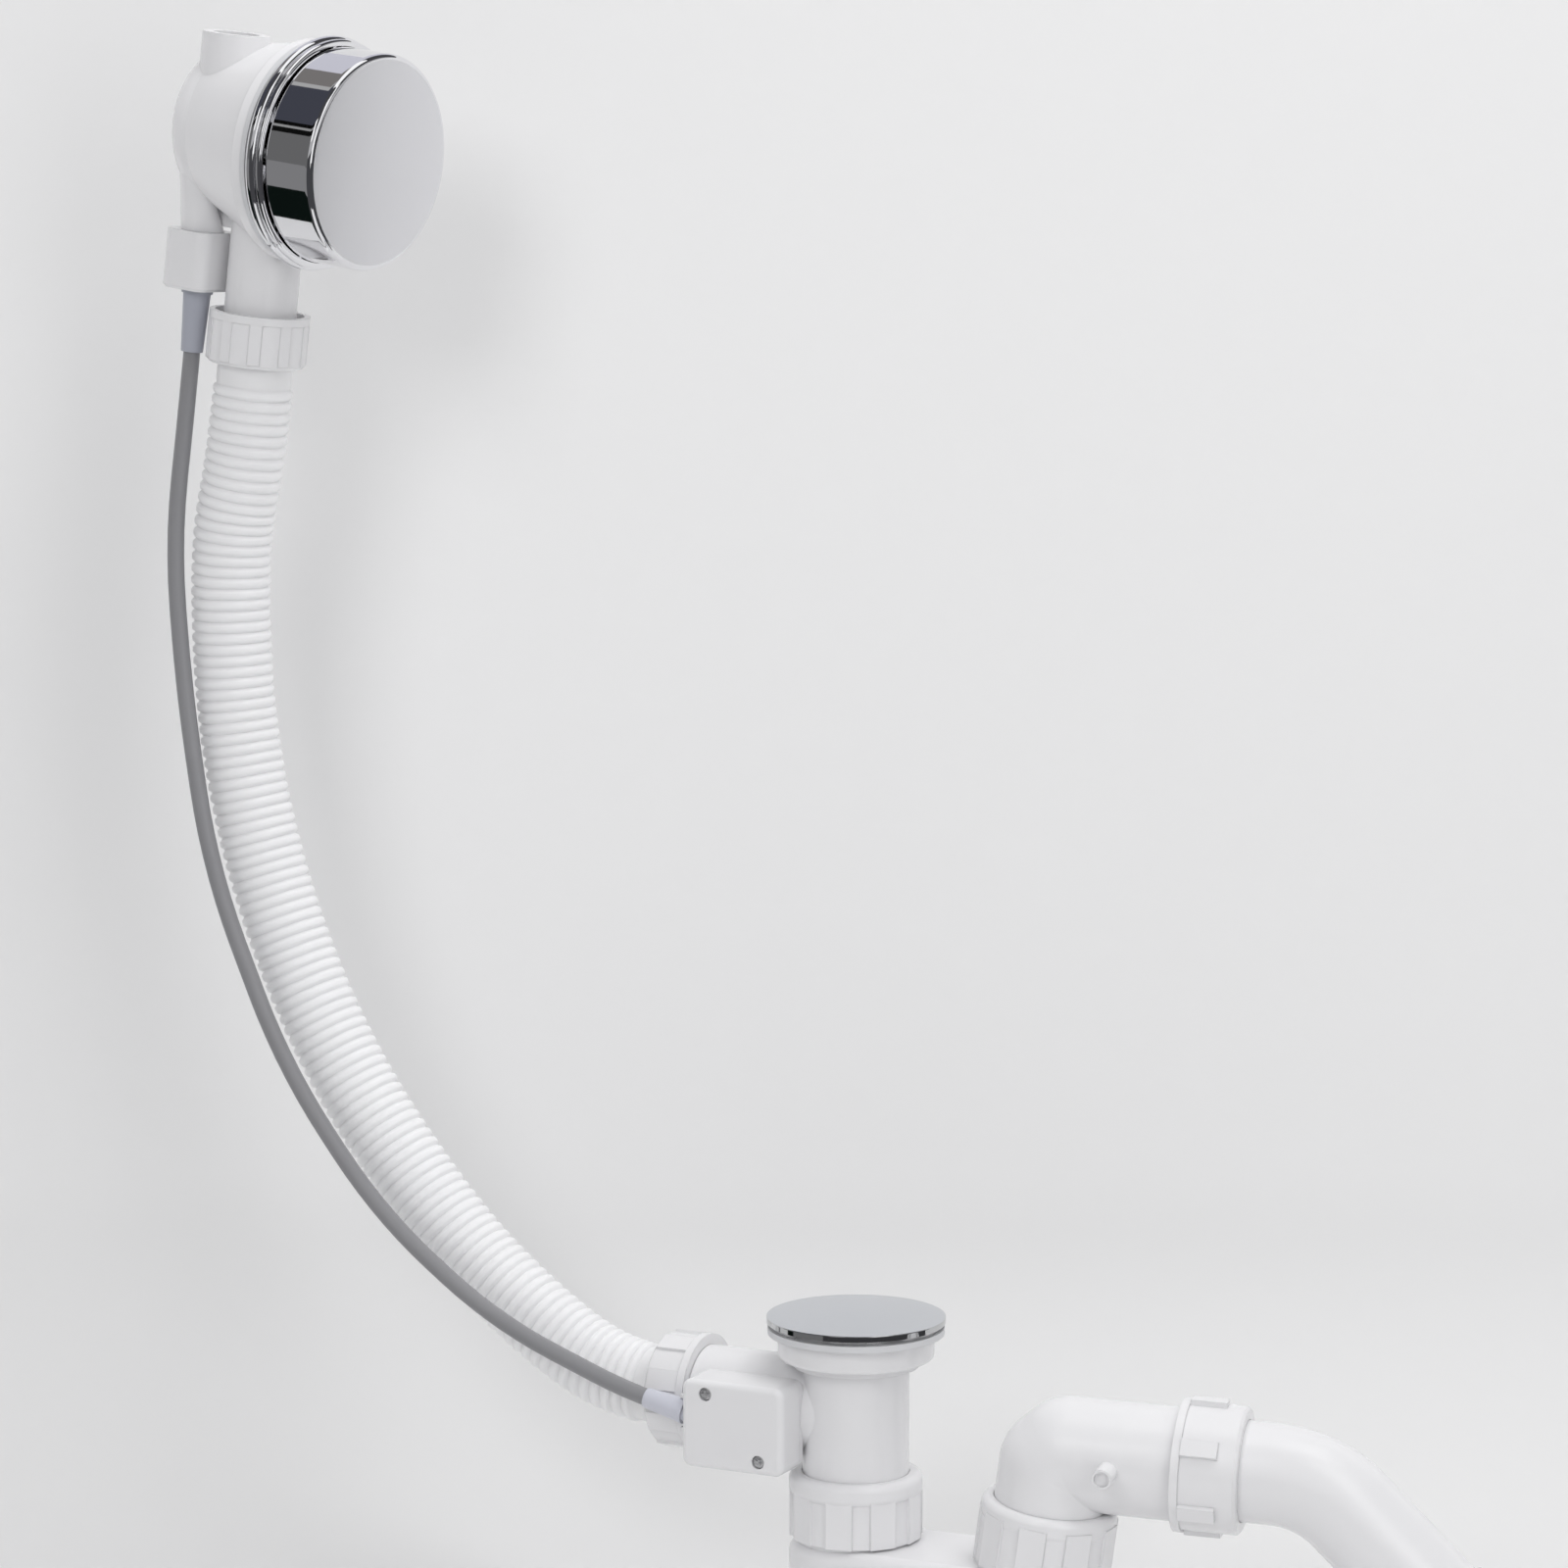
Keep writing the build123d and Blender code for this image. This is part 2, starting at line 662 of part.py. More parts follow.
# Tapered sleeve at the cable's upper end
with BuildPart() as upper_ferrule:
    with BuildSketch(across_spigot(clip_bottom, drum_x, core_y)):
        Circle(upper_ferrule_d / 2)
    with BuildSketch(across_spigot(clip_bottom - upper_ferrule_length, drum_x, core_y)):
        Circle(upper_ferrule_tip_d / 2)
    loft()
    with BuildSketch(across_spigot(clip_bottom, drum_x, core_y)):
        Circle(ferrule_flange_d / 2)
    extrude(amount=-ferrule_flange_t)
    with BuildSketch(across_spigot(clip_bottom, drum_x, core_y)):
        Circle(ferrule_neck_d / 2)
    extrude(amount=clip_socket - slip)
    with BuildSketch(across_spigot(clip_bottom - upper_ferrule_length, drum_x, core_y)):
        Circle(cable_d / 2 + slip / 2)
    extrude(amount=upper_ferrule_length + clip_socket, mode=Mode.SUBTRACT)

# Control cable's sheath, along its real route from the head's clip to the mechanism box
cable_top = head_point(drum_x, core_y, clip_bottom + clip_socket)
cable_end = entry + cable_dir * (lower_neck_length - slip)
cable_points = [cable_top, cable_top - head.z_dir * cable_lead_top]
cable_points += [Vector(*point) for point in cable_route]
cable_points += [cable_end - cable_dir * cable_lead_bottom, cable_end]
cable_radii = bend_radii(cable_points)
print("cable radii", [round(radius) for radius in cable_radii])
with BuildPart() as cable_sheath:
    with BuildLine() as cable_line:
        FilletPolyline(*cable_points, radius=cable_radii)
    with BuildSketch(Plane(origin=cable_top, x_dir=head.x_dir, z_dir=head.z_dir * -1)):
        Circle(cable_d / 2)
    sweep(path=cable_line.wires()[0])
    with BuildSketch(Plane(origin=cable_top, x_dir=head.x_dir, z_dir=head.z_dir * -1)):
        Circle(core_bore / 2)
    extrude(amount=core_bore_depth, mode=Mode.SUBTRACT)
    with BuildSketch(Plane(origin=cable_end, x_dir=(0, 1, 0), z_dir=cable_dir)):
        Circle(core_bore / 2)
    extrude(amount=-core_bore_depth, mode=Mode.SUBTRACT)
print("cable length", round(cable_line.wires()[0].length, 1), "volume", round(cable_sheath.part.volume))

# Upper end of the steel core, tangent to the drum
core_top = head_point(drum_x, core_y, spindle_tip_d / 2)
with BuildPart() as cable_core_upper:
    with BuildSketch(Plane(origin=core_top, x_dir=head.x_dir, z_dir=head.z_dir * -1)):
        Circle(core_d / 2)
    extrude(amount=spindle_tip_d / 2 - clip_bottom - clip_socket + core_in_sheath)

# Lower end of the steel core, with a slotted eye for the rocker's pin
eye_slot_l = arm_pin_d + 2 * free
eye_sway = arm_length * (1 - cos(radians(rock_half)))
eye_slot_h = arm_pin_d + 2 * free + eye_sway
eye_plane = Plane(origin=eye_centre, x_dir=cable_dir, z_dir=(0, -1, 0))
rod_start = cable_end - cable_dir * (core_bore_depth - core_d)
with BuildPart() as cable_core_lower:
    with BuildSketch(Plane(origin=rod_start, x_dir=(0, 1, 0), z_dir=cable_dir)):
        Circle(core_d / 2)
    extrude(amount=(eye_centre - rod_start).length - eye_slot_l / 2 - eye_wall / 2)
    with BuildSketch(eye_plane.offset(-arm_pin_d / 2)):
        with Locations((0, eye_sway / 2)):
            Rectangle(eye_slot_l + 2 * eye_wall, eye_slot_h + 2 * eye_wall)
            Rectangle(eye_slot_l, eye_slot_h, mode=Mode.SUBTRACT)
    extrude(amount=arm_pin_d)

# Tapered sleeve where the cable enters the mechanism box
entry_plane = Plane(origin=entry, x_dir=(0, 1, 0), z_dir=cable_dir)
ferrule_foot = lower_ferrule_d / 2 * tan(radians(cable_dip)) + slip
with BuildPart() as lower_ferrule:
    with BuildSketch(entry_plane.offset(-ferrule_foot)):
        Circle(lower_ferrule_d / 2)
    with BuildSketch(entry_plane.offset(-ferrule_foot - lower_ferrule_length)):
        Circle(lower_ferrule_tip_d / 2)
    loft()
    with BuildSketch(entry_plane.offset(-ferrule_foot)):
        Circle(lower_neck_d / 2)
    extrude(amount=ferrule_foot + lower_neck_length)
    with BuildSketch(entry_plane.offset(-ferrule_foot - lower_ferrule_length)):
        Circle(cable_d / 2 + slip / 2)
    extrude(amount=ferrule_foot + lower_ferrule_length + lower_neck_length, mode=Mode.SUBTRACT)

# Hose nut and seal under the overflow head
upper_nut_face = spigot_end - hose_seal_t - hose_flange_t - nut_lip
upper_hose_nut = grip_nut(across_spigot(upper_nut_face), upper_nut_h, upper_nut_d / 2, nut_lip,
                          hose_cuff_d / 2 + slip, hose_flange_d / 2 + slip,
                          upper_nut_lugs, upper_lug, upper_lug_w, hose_lug_from, upper_nut_ring)
upper_seal_plane = across_spigot(spigot_end - hose_seal_t)
upper_hose_seal = washer(upper_seal_plane, spigot_thread_d / 2, spigot_bore / 2, hose_seal_t)

# Hose nut and seal on the waste's side inlet
lower_nut_face = inlet_end_x - hose_seal_t - hose_flange_t - nut_lip
inlet_plane = Plane(origin=(0, 0, inlet_z), x_dir=(0, 1, 0), z_dir=(1, 0, 0))
lower_hose_nut = grip_nut(inlet_plane.offset(lower_nut_face), lower_nut_h, lower_nut_d / 2, nut_lip,
                          hose_cuff_d / 2 + slip, inlet_thread_d / 2 + slip,
                          lower_nut_lugs, lower_lug, lower_lug_w, hose_lug_from, nut_ring)
lower_seal_plane = inlet_plane.offset(inlet_end_x - hose_seal_t)
lower_hose_seal = washer(lower_seal_plane, inlet_thread_d / 2, inlet_bore_r, hose_seal_t)

# Corrugated overflow hose: flanged cuffs at both ends and a V-shaped rib for every pitch between them
hose_top = head_point(0, 0, spigot_end - hose_seal_t)
hose_end = Vector(inlet_end_x - hose_seal_t, 0, inlet_z)
hose_points = [hose_top, hose_top - head.z_dir * hose_lead_top]
hose_points += [Vector(x, 0, z) for x, z in hose_route]
hose_points += [hose_end - Vector(hose_lead_bottom, 0, 0), hose_end]
hose_radii = bend_radii(hose_points)
print("hose radii", [round(radius) for radius in hose_radii])
with BuildLine() as hose_line:
    FilletPolyline(*hose_points, radius=hose_radii)
hose_path = hose_line.wires()[0]
cuff_end = hose_flange_t + nut_lip + hose_cuff


def hose_plane(distance):
    """Plane square to the hose at a distance along it."""
    return Plane(origin=hose_path.position_at(distance, position_mode=PositionMode.LENGTH), x_dir=(0, 1, 0),
                 z_dir=hose_path.tangent_at(distance, position_mode=PositionMode.LENGTH))


ribbed = hose_path.length - 2 * cuff_end
rib_count = round(ribbed / hose_pitch)
with BuildPart() as overflow_hose:
    for step in range(2 * rib_count + 1):
        with BuildSketch(hose_plane(cuff_end + ribbed * step / (2 * rib_count))):
            Circle(hose_d / 2 - hose_rib * (1 - step % 2))
    loft(ruled=True)
    for end_face, inward in ((hose_plane(0), 1), (hose_plane(hose_path.length), -1)):
        with BuildSketch(end_face):
            Circle(hose_flange_d / 2)
        extrude(amount=inward * hose_flange_t)
        with BuildSketch(end_face):
            Circle(hose_cuff_d / 2)
        extrude(amount=inward * cuff_end)
    for step in range(rib_count // 2 + 1):
        with BuildSketch(hose_plane(hose_path.length * step / (rib_count // 2))):
            Circle(hose_d / 2 - hose_rib - hose_wall)
    loft(ruled=True, mode=Mode.SUBTRACT)
print("hose length", round(hose_path.length, 1), "ribs", rib_count)
print("hose volume", round(overflow_hose.part.volume))

# Chrome plug with a groove for its seal and a boss for its stem
with BuildPart() as plug:
    with BuildSketch(Plane.XZ):
        with BuildLine():
            rim = plug_d / 2
            (mid_z, mid_r), (top_z, _) = crown_points(plug_rim_z, rim - plug_break, plug_dome)
            crown = ThreePointArc((0, top_z), (mid_r, mid_z), (rim - plug_break, plug_rim_z))
            groove_z = stack_z + seal_t
            boss_z = plug_under_z - boss_drop
            Polyline(crown @ 1, (rim, plug_rim_z - plug_break), (rim, plug_under_z),
                     (seal_d / 2, plug_under_z), (seal_d / 2, groove_z),
                     (seal_d / 2 - seal_w, groove_z), (seal_d / 2 - seal_w, plug_under_z),
                     (boss_d / 2, plug_under_z), (boss_d / 2, boss_z), (stem_d / 2 + running, boss_z),
                     (stem_d / 2 + running, plug_rim_z), (0, plug_rim_z), crown @ 0)
        make_face()
    revolve(axis=Axis.Z)

# Rubber ring in the plug's groove, resting on the valve flange
plug_seal = washer(Plane.XY.offset(stack_z), seal_d / 2 - slip / 2, seal_d / 2 - seal_w + slip / 2, seal_t)

# Plug's stem, with a rounded foot above the rocker's finger
with BuildPart() as plug_stem:
    with BuildSketch(Plane.XY.offset(stem_end_z)):
        Circle(stem_d / 2)
    extrude(amount=plug_rim_z - stem_end_z)
    chamfer(plug_stem.edges().sort_by(Axis.Z)[0], length=stem_foot)

# Lock nut that sets the plug's height on its stem
with BuildPart() as stem_nut:
    with BuildSketch(Plane.XY.offset(boss_z)):
        RegularPolygon(stem_nut_flats / 2, 6, major_radius=False)
        Circle(stem_d / 2 + running, mode=Mode.SUBTRACT)
    extrude(amount=-stem_nut_t)

# Valve flange: a broad rim in the bath and a short cup with a spoked floor
cup_r = tube_bore_r - slip
with BuildPart() as valve_flange:
    with BuildSketch(Plane.XY.offset(gasket_t)):
        Circle(valve_rim_d / 2)
    extrude(amount=valve_rim_t)
    with BuildSketch(Plane.XY.offset(cup_floor_z)):
        Circle(cup_r)
    extrude(amount=stack_z - cup_floor_z)
    with BuildSketch(Plane.XY.offset(web_top_z)):
        Circle(cup_r - valve_wall)
    extrude(amount=stack_z - web_top_z, mode=Mode.SUBTRACT)
    with BuildSketch(Plane.XY.offset(cup_floor_z)):
        Circle(screw_d / 2 + slip)
        with PolarLocations((cup_r + screw_head_d / 2) / 2, valve_windows):
            SlotOverall(cup_r - screw_head_d / 2 - valve_window_rim, valve_window_w)
    extrude(amount=valve_wall, mode=Mode.SUBTRACT)

# Hollow centre screw that clamps the valve flange to the waste body and guides the stem
with BuildPart() as flange_screw:
    with BuildSketch(Plane.XY.offset(web_top_z)):
        Circle(screw_head_d / 2)
    extrude(amount=screw_head_t)
    with BuildSketch(Plane.XY.offset(web_top_z)):
        Circle(screw_d / 2)
    extrude(amount=-screw_length + screw_head_t)
    with BuildSketch(Plane.XY.offset(web_top_z + screw_head_t)):
        Circle(stem_d / 2 + running)
    extrude(amount=-screw_length, mode=Mode.SUBTRACT)

# Rubber ring between the waste body and the underside of the bath
waste_gasket = washer(Plane.XY, gasket_d / 2, gasket_bore / 2, gasket_t)

# White waste body: flange, tube, side inlet, spoked hub and the mechanism's back plate in one moulding
with BuildPart() as waste_body:
    with BuildSketch(Plane.XY):
        Circle(waste_flange_d / 2)
    extrude(amount=-waste_flange_h)
    fillet(waste_body.edges().sort_by(Axis.Z)[0], radius=waste_flange_edge)
    with BuildSketch(Plane.XY.offset(-waste_flange_h)):
        Circle(waste_step_d / 2)
    extrude(amount=-waste_step_h)
    with BuildSketch(Plane.XY):
        Circle(tube_r)
    extrude(amount=waste_tube_end)
    with BuildSketch(inlet_plane):
        Circle(inlet_d / 2)
    extrude(amount=inlet_end_x + inlet_thread_length + free)
    with BuildSketch(inlet_plane.offset(inlet_end_x)):
        Circle(inlet_thread_d / 2)
    extrude(amount=inlet_thread_length + free)
    with BuildSketch(Plane.XZ.offset(-plate_y - plate_t)):
        with Locations((box_x, box_z)):
            RectangleRounded(box_w, box_h, box_corner)
    extrude(amount=plate_t)
    with BuildSketch(Plane.XZ.offset(-block_back_y)):
        with Locations((box_x, box_z)):
            RectangleRounded(box_w - 2 * block_margin, box_h - 2 * block_margin,
                             box_corner - block_margin / 2)
    extrude(amount=block_back_y - plate_y - plate_t / 2)
    with BuildSketch(Plane.XY):
        Circle(tube_bore_r)
    extrude(amount=waste_tube_end, mode=Mode.SUBTRACT)
    with BuildSketch(inlet_plane):
        Circle(inlet_bore_r)
    extrude(amount=inlet_end_x, mode=Mode.SUBTRACT)
    with BuildSketch(Plane.XY.offset(cup_floor_z)):
        Circle(hub_d / 2)
        with PolarLocations(tube_r / 2, spokes):
            Rectangle(tube_r, spoke_w)
    extrude(amount=-hub_h)
    with BuildSketch(Plane.XY.offset(cup_floor_z)):
        Circle(screw_d / 2 + slip)
    extrude(amount=-hub_h, mode=Mode.SUBTRACT)
    with BuildSketch(Plane.XZ.offset(-plate_y)):
        with Locations((rocker_x, rocker_z)):
            Circle(shaft_d / 2 + running)
    extrude(amount=plate_y, mode=Mode.SUBTRACT)
    with BuildSketch(Plane.XZ.offset(-plate_y)):
        with Locations(*cover_points):
            Circle(cover_screw_d / 2 + slip)
    extrude(amount=-plate_t - block_margin / 2, mode=Mode.SUBTRACT)

# Moulded cover of the mechanism box, with screw pillars, a bearing for the rocker and a slot for the cable
with BuildPart() as mechanism_cover:
    with BuildSketch(Plane.XZ.offset(-plate_y)):
        with Locations((box_x, box_z)):
            RectangleRounded(box_w, box_h, box_corner)
    extrude(amount=box_depth)
    fillet(mechanism_cover.faces().sort_by(Axis.Y)[0].edges(), radius=box_edge)
    with BuildSketch(Plane.XZ.offset(-plate_y)):
        with Locations((box_x, box_z)):
            RectangleRounded(box_w - 2 * box_wall, box_h - 2 * box_wall, box_corner - box_wall / 2)
    extrude(amount=box_depth - box_wall, mode=Mode.SUBTRACT)
    with BuildSketch(Plane.XZ.offset(-plate_y)):
        with Locations(*cover_points):
            Circle(cover_head_d / 2 + pillar_wall)
    extrude(amount=box_depth - box_wall)
    with BuildSketch(Plane.XZ.offset(-cover_front_y - box_wall)):
        with Locations((rocker_x, rocker_z)):
            Circle(lever_hub_d / 2)
    extrude(amount=-bearing_h)
    with BuildSketch(Plane.XZ.offset(-cover_front_y - box_wall - bearing_h)):
        with Locations((rocker_x, rocker_z)):
            Circle(shaft_tip_d / 2 + running)
    extrude(amount=box_wall, mode=Mode.SUBTRACT)
    with BuildSketch(Plane.XZ.offset(-plate_y)):
        with Locations(*cover_points):
            Circle(cover_screw_d / 2 + slip)
    extrude(amount=box_depth, mode=Mode.SUBTRACT)
    with BuildSketch(Plane.XZ.offset(-cover_front_y)):
        with Locations(*cover_points):
            Circle(cover_head_d / 2 + slip)
    extrude(amount=-cover_recess, mode=Mode.SUBTRACT)
    neck_drop = box_wall * tan(radians(cable_dip))
    neck_slot = lower_neck_d / cos(radians(cable_dip)) + neck_drop + 2 * slip
    with BuildSketch(Plane.YZ.offset(cover_left_x)):
        with Locations((cable_y, cable_entry_z - neck_drop / 2)):
            Circle(neck_slot / 2)
        with Locations(((cable_y + plate_y) / 2, cable_entry_z - neck_drop / 2)):
            Rectangle(plate_y - cable_y, neck_slot)
    extrude(amount=box_wall, mode=Mode.SUBTRACT)
    with BuildSketch(Plane.YZ.offset(cover_left_x)):
        with Locations((cable_y, cable_entry_z + lower_ferrule_d / 2 + tab_size / 2),
                       (cable_y, cable_entry_z - lower_ferrule_d / 2 - tab_size / 2)):
            Rectangle(tab_size, tab_size / 2)
    extrude(amount=-tab_size)

# Two small screws that close the cover
with BuildPart() as cover_screws:
    head_y = -cover_front_y - cover_recess
    with BuildSketch(Plane.XZ.offset(head_y)):
        with Locations(*cover_points):
            Circle(cover_head_d / 2)
    extrude(amount=cover_head_t)
    with BuildSketch(Plane.XZ.offset(head_y)):
        with Locations(*cover_points):
            Circle(cover_screw_d / 2)
    extrude(amount=-(box_depth - cover_recess + plate_t))

# Rocker shaft with the finger that lifts the stem
tip_y = cover_front_y + box_wall + free
lever_front_y = cover_front_y + box_wall + bearing_h + free
lever_back_y = plate_y - free
with BuildPart() as rocker_shaft:
    with BuildSketch(Plane.XZ.offset(-lever_back_y)):
        with Locations((rocker_x, rocker_z)):
            Circle(shaft_d / 2)
    extrude(amount=lever_back_y - finger_w / 2)
    with BuildSketch(Plane.XZ.offset(-lever_back_y)):
        with Locations((rocker_x, rocker_z)):
            Rectangle(shaft_square, shaft_square)
    extrude(amount=lever_back_y - lever_front_y)
    with BuildSketch(Plane.XZ.offset(-lever_back_y)):
        with Locations((rocker_x, rocker_z)):
            Circle(shaft_tip_d / 2)
    extrude(amount=lever_back_y - tip_y)
    with BuildSketch(Plane.XZ.offset(-finger_w / 2)):
        with BuildLine():
            side = Vector(sin(radians(rock_half)), cos(radians(rock_half))) * (finger_h / 2)
            root = Vector(rocker_x, rocker_z)
            tip = Vector(finger_tip.X, finger_tip.Z)
            Polyline(root + side, tip + side, tip - side, root - side, close=True)
        make_face()
        with Locations((finger_tip.X, finger_tip.Z)):
            Circle(finger_tip_r)
        with Locations((rocker_x, rocker_z)):
            Circle(lever_hub_d / 2)
    extrude(amount=finger_w)

# Lever on the shaft's square, with the pin that the cable's eye works on
arm_front_y = cable_y + arm_pin_d / 2 + free
with BuildPart() as rocker_lever:
    with BuildSketch(Plane.XZ.offset(-lever_back_y)):
        with Locations((rocker_x, rocker_z)):
            Circle(lever_hub_d / 2)
    extrude(amount=lever_back_y - lever_front_y)
    with BuildSketch(Plane.XZ.offset(-arm_front_y)):
        with BuildLine():
            side = Vector(-arm_rest.Z, arm_rest.X) * arm_end_r
            root = Vector(rocker_x, rocker_z)
            tip = Vector(arm_tip.X, arm_tip.Z)
            Polyline(root + side, tip + side, tip - side, root - side, close=True)
        make_face()
        with Locations((arm_tip.X, arm_tip.Z)):
            Circle(arm_end_r)
    extrude(amount=-arm_t)
    with BuildSketch(Plane.XZ.offset(-arm_front_y)):
        with Locations((arm_tip.X, arm_tip.Z)):
            Circle(arm_pin_d / 2)
    extrude(amount=arm_pin_d + 2 * free)
    with BuildSketch(Plane.XZ.offset(-lever_back_y)):
        with Locations((rocker_x, rocker_z)):
            Rectangle(shaft_square + slip, shaft_square + slip)
    extrude(amount=lever_back_y - lever_front_y, mode=Mode.SUBTRACT)

# Trap's inlet nut and washer round the waste tube
trap_lip = Plane.XY.offset(trap_lip_z)
trap_inlet_nut = trap_nut(trap_lip, tube_r)
collar_top = -trap_nut_lip - trap_washer_t
inlet_collar_r = tube_r + slip + trap_collar_wall
trap_inlet_washer = washer(trap_lip.offset(collar_top), inlet_collar_r, tube_r + slip, trap_washer_t)

# Riser's nut and washer round the elbow
elbow_r = elbow_d / 2
riser_nut = trap_nut(riser, elbow_r)
riser_collar_r = elbow_r + slip + trap_collar_wall
riser_washer = washer(riser.offset(collar_top), riser_collar_r, elbow_r + slip, trap_washer_t)

# Low trap: a hollow pill-shaped body with two threaded collars, the outlet's on a leaning pad
riser_foot_x = riser_x - tan(radians(riser_lean)) * (riser_lip_z - trap_top_z)
nut_pad = riser.offset(-trap_nut_h - free)
with BuildPart() as trap_body:
    with BuildSketch(Plane.XY.offset(trap_top_z)):
        with Locations((riser_foot_x / 2, 0)):
            SlotCenterToCenter(riser_foot_x, trap_width)
    extrude(amount=-trap_h)
    with BuildSketch(Plane.XY.offset(trap_top_z - trap_wall)):
        with Locations((riser_foot_x / 2, 0)):
            SlotCenterToCenter(riser_foot_x, trap_width - 2 * trap_wall)
    extrude(amount=2 * trap_wall - trap_h, mode=Mode.SUBTRACT)
    fillet(trap_body.edges().group_by(Axis.Z)[1], radius=trap_bottom_edge - trap_wall)
    fillet(trap_body.edges().group_by(Axis.Z)[0], radius=trap_bottom_edge)
    fillet(trap_body.edges().group_by(Axis.Z)[-2], radius=trap_top_edge - trap_wall)
    fillet(trap_body.edges().group_by(Axis.Z)[-1], radius=trap_top_edge)
    with BuildSketch(nut_pad):
        Circle(trap_nut_collar_d / 2 + free)
    extrude(amount=trap_h, mode=Mode.SUBTRACT)
    with BuildSketch(nut_pad):
        Circle(riser_collar_r + trap_nut_wall)
    extrude(amount=-2 * trap_wall)
    with BuildSketch(trap_lip.offset(collar_top)):
        Circle(inlet_collar_r)
    extrude(amount=trap_top_z - trap_wall - trap_lip_z - collar_top)
    with BuildSketch(riser.offset(collar_top)):
        Circle(riser_collar_r)
    extrude(amount=-(trap_nut_h + trap_wall + collar_top))
    with BuildSketch(trap_lip.offset(collar_top)):
        Circle(tube_r + slip)
    extrude(amount=trap_top_z - 2 * trap_wall - trap_lip_z - collar_top, mode=Mode.SUBTRACT)
    with BuildSketch(riser.offset(collar_top)):
        Circle(elbow_r + slip)
    extrude(amount=-(trap_nut_h + riser_way + collar_top), mode=Mode.SUBTRACT)

# Swivel elbow with a tight knuckle, a socket for the outlet and a short capped branch on its front
peg_plane = Plane(origin=elbow_corner + arm_dir * peg_at, x_dir=arm_dir, z_dir=arm_side * -1)
elbow_points = [riser.origin - riser.z_dir * riser_in, elbow_corner - riser.z_dir * elbow_knuckle,
                elbow_corner + arm_dir * elbow_knuckle, elbow_corner + arm_dir * arm_end]
with BuildPart() as outlet_elbow:
    for pipe_r, mode in ((elbow_r, Mode.ADD), (elbow_r - elbow_wall, Mode.SUBTRACT)):
        for start, end in zip(elbow_points, elbow_points[1:]):
            with BuildSketch(Plane(origin=start, x_dir=arm_side, z_dir=end - start)):
                Circle(pipe_r)
            extrude(amount=(end - start).length, mode=mode)
        with Locations(*elbow_points[1:-1]):
            Sphere(pipe_r, mode=mode)
    with BuildSketch(across_arm(arm_end)):
        Circle(outlet_d / 2 + slip)
    extrude(amount=-outlet_in - slip, mode=Mode.SUBTRACT)
    with BuildSketch(peg_plane.offset(elbow_r - elbow_wall / 2)):
        Circle(peg_d / 2)
    extrude(amount=elbow_wall / 2 + peg_out)
    with BuildSketch(peg_plane.offset(elbow_r + peg_out)):
        Circle(peg_d / 2 - peg_wall)
    extrude(amount=-peg_dish, mode=Mode.SUBTRACT)

# Union nut and washer that hold the outlet bend in the elbow's arm
union_face = arm_end + union_washer_t + union_lip
union_back = Plane(origin=across_arm(union_face).origin, x_dir=arm_side, z_dir=arm_dir * -1)
union_nut = grip_nut(union_back, union_nut_h, union_nut_d / 2, union_lip, outlet_d / 2 + slip, elbow_r + slip,
                     union_lugs, union_lug, union_lug_w, union_lug_from, nut_ring)
union_washer = washer(across_arm(arm_end), elbow_r, outlet_d / 2 + slip, union_washer_t)

# Outlet bend: a pipe pushed into the elbow, bent down and ending in a plain spigot behind a stop bead
with BuildPart() as outlet_bend:
    with BuildLine() as outlet_line:
        FilletPolyline(elbow_corner + arm_dir * (arm_end - outlet_in), outlet_corner_point,
                       outlet_corner_point + outlet_dir * outlet_run, radius=outlet_bend_r)
    with BuildSketch(across_arm(arm_end - outlet_in)):
        Circle(outlet_d / 2)
    sweep(path=outlet_line.wires()[0])
    with BuildSketch(across_outlet(bead_at)):
        Circle(bead_d / 2)
    extrude(amount=bead_w)
    with BuildSketch(across_arm(arm_end - outlet_in)):
        Circle(outlet_d / 2 - outlet_wall)
    sweep(path=outlet_line.wires()[0], mode=Mode.SUBTRACT)

pieces = {
    "knob": knob,
    "knob_spindle": knob_spindle,
    "spindle_clip": spindle_clip,
    "cable_drum": cable_drum,
    "overflow_rosette": overflow_rosette,
    "rosette_screws": rosette_screws,
    "overflow_gasket": overflow_gasket,
    "overflow_body": overflow_body,
    "cable_clip_housing": cable_clip_housing,
    "upper_ferrule": upper_ferrule,
    "cable_sheath": cable_sheath,
    "cable_core_upper": cable_core_upper,
    "cable_core_lower": cable_core_lower,
    "lower_ferrule": lower_ferrule,
    "upper_hose_nut": upper_hose_nut,
    "upper_hose_seal": upper_hose_seal,
    "overflow_hose": overflow_hose,
    "lower_hose_nut": lower_hose_nut,
    "lower_hose_seal": lower_hose_seal,
    "plug": plug,
    "plug_seal": plug_seal,
    "plug_stem": plug_stem,
    "stem_nut": stem_nut,
    "valve_flange": valve_flange,
    "flange_screw": flange_screw,
    "waste_gasket": waste_gasket,
    "waste_body": waste_body,
    "mechanism_cover": mechanism_cover,
    "cover_screws": cover_screws,
    "rocker_shaft": rocker_shaft,
    "rocker_lever": rocker_lever,
    "trap_inlet_nut": trap_inlet_nut,
    "trap_inlet_washer": trap_inlet_washer,
    "trap_body": trap_body,
    "riser_nut": riser_nut,
    "riser_washer": riser_washer,
    "outlet_elbow": outlet_elbow,
    "union_nut": union_nut,
    "union_washer": union_washer,
    "outlet_bend": outlet_bend,
}
os.makedirs("parts", exist_ok=True)
for name, piece in pieces.items():
    piece.part.label = name
    export_step(piece.part, f"parts/{name}.step")
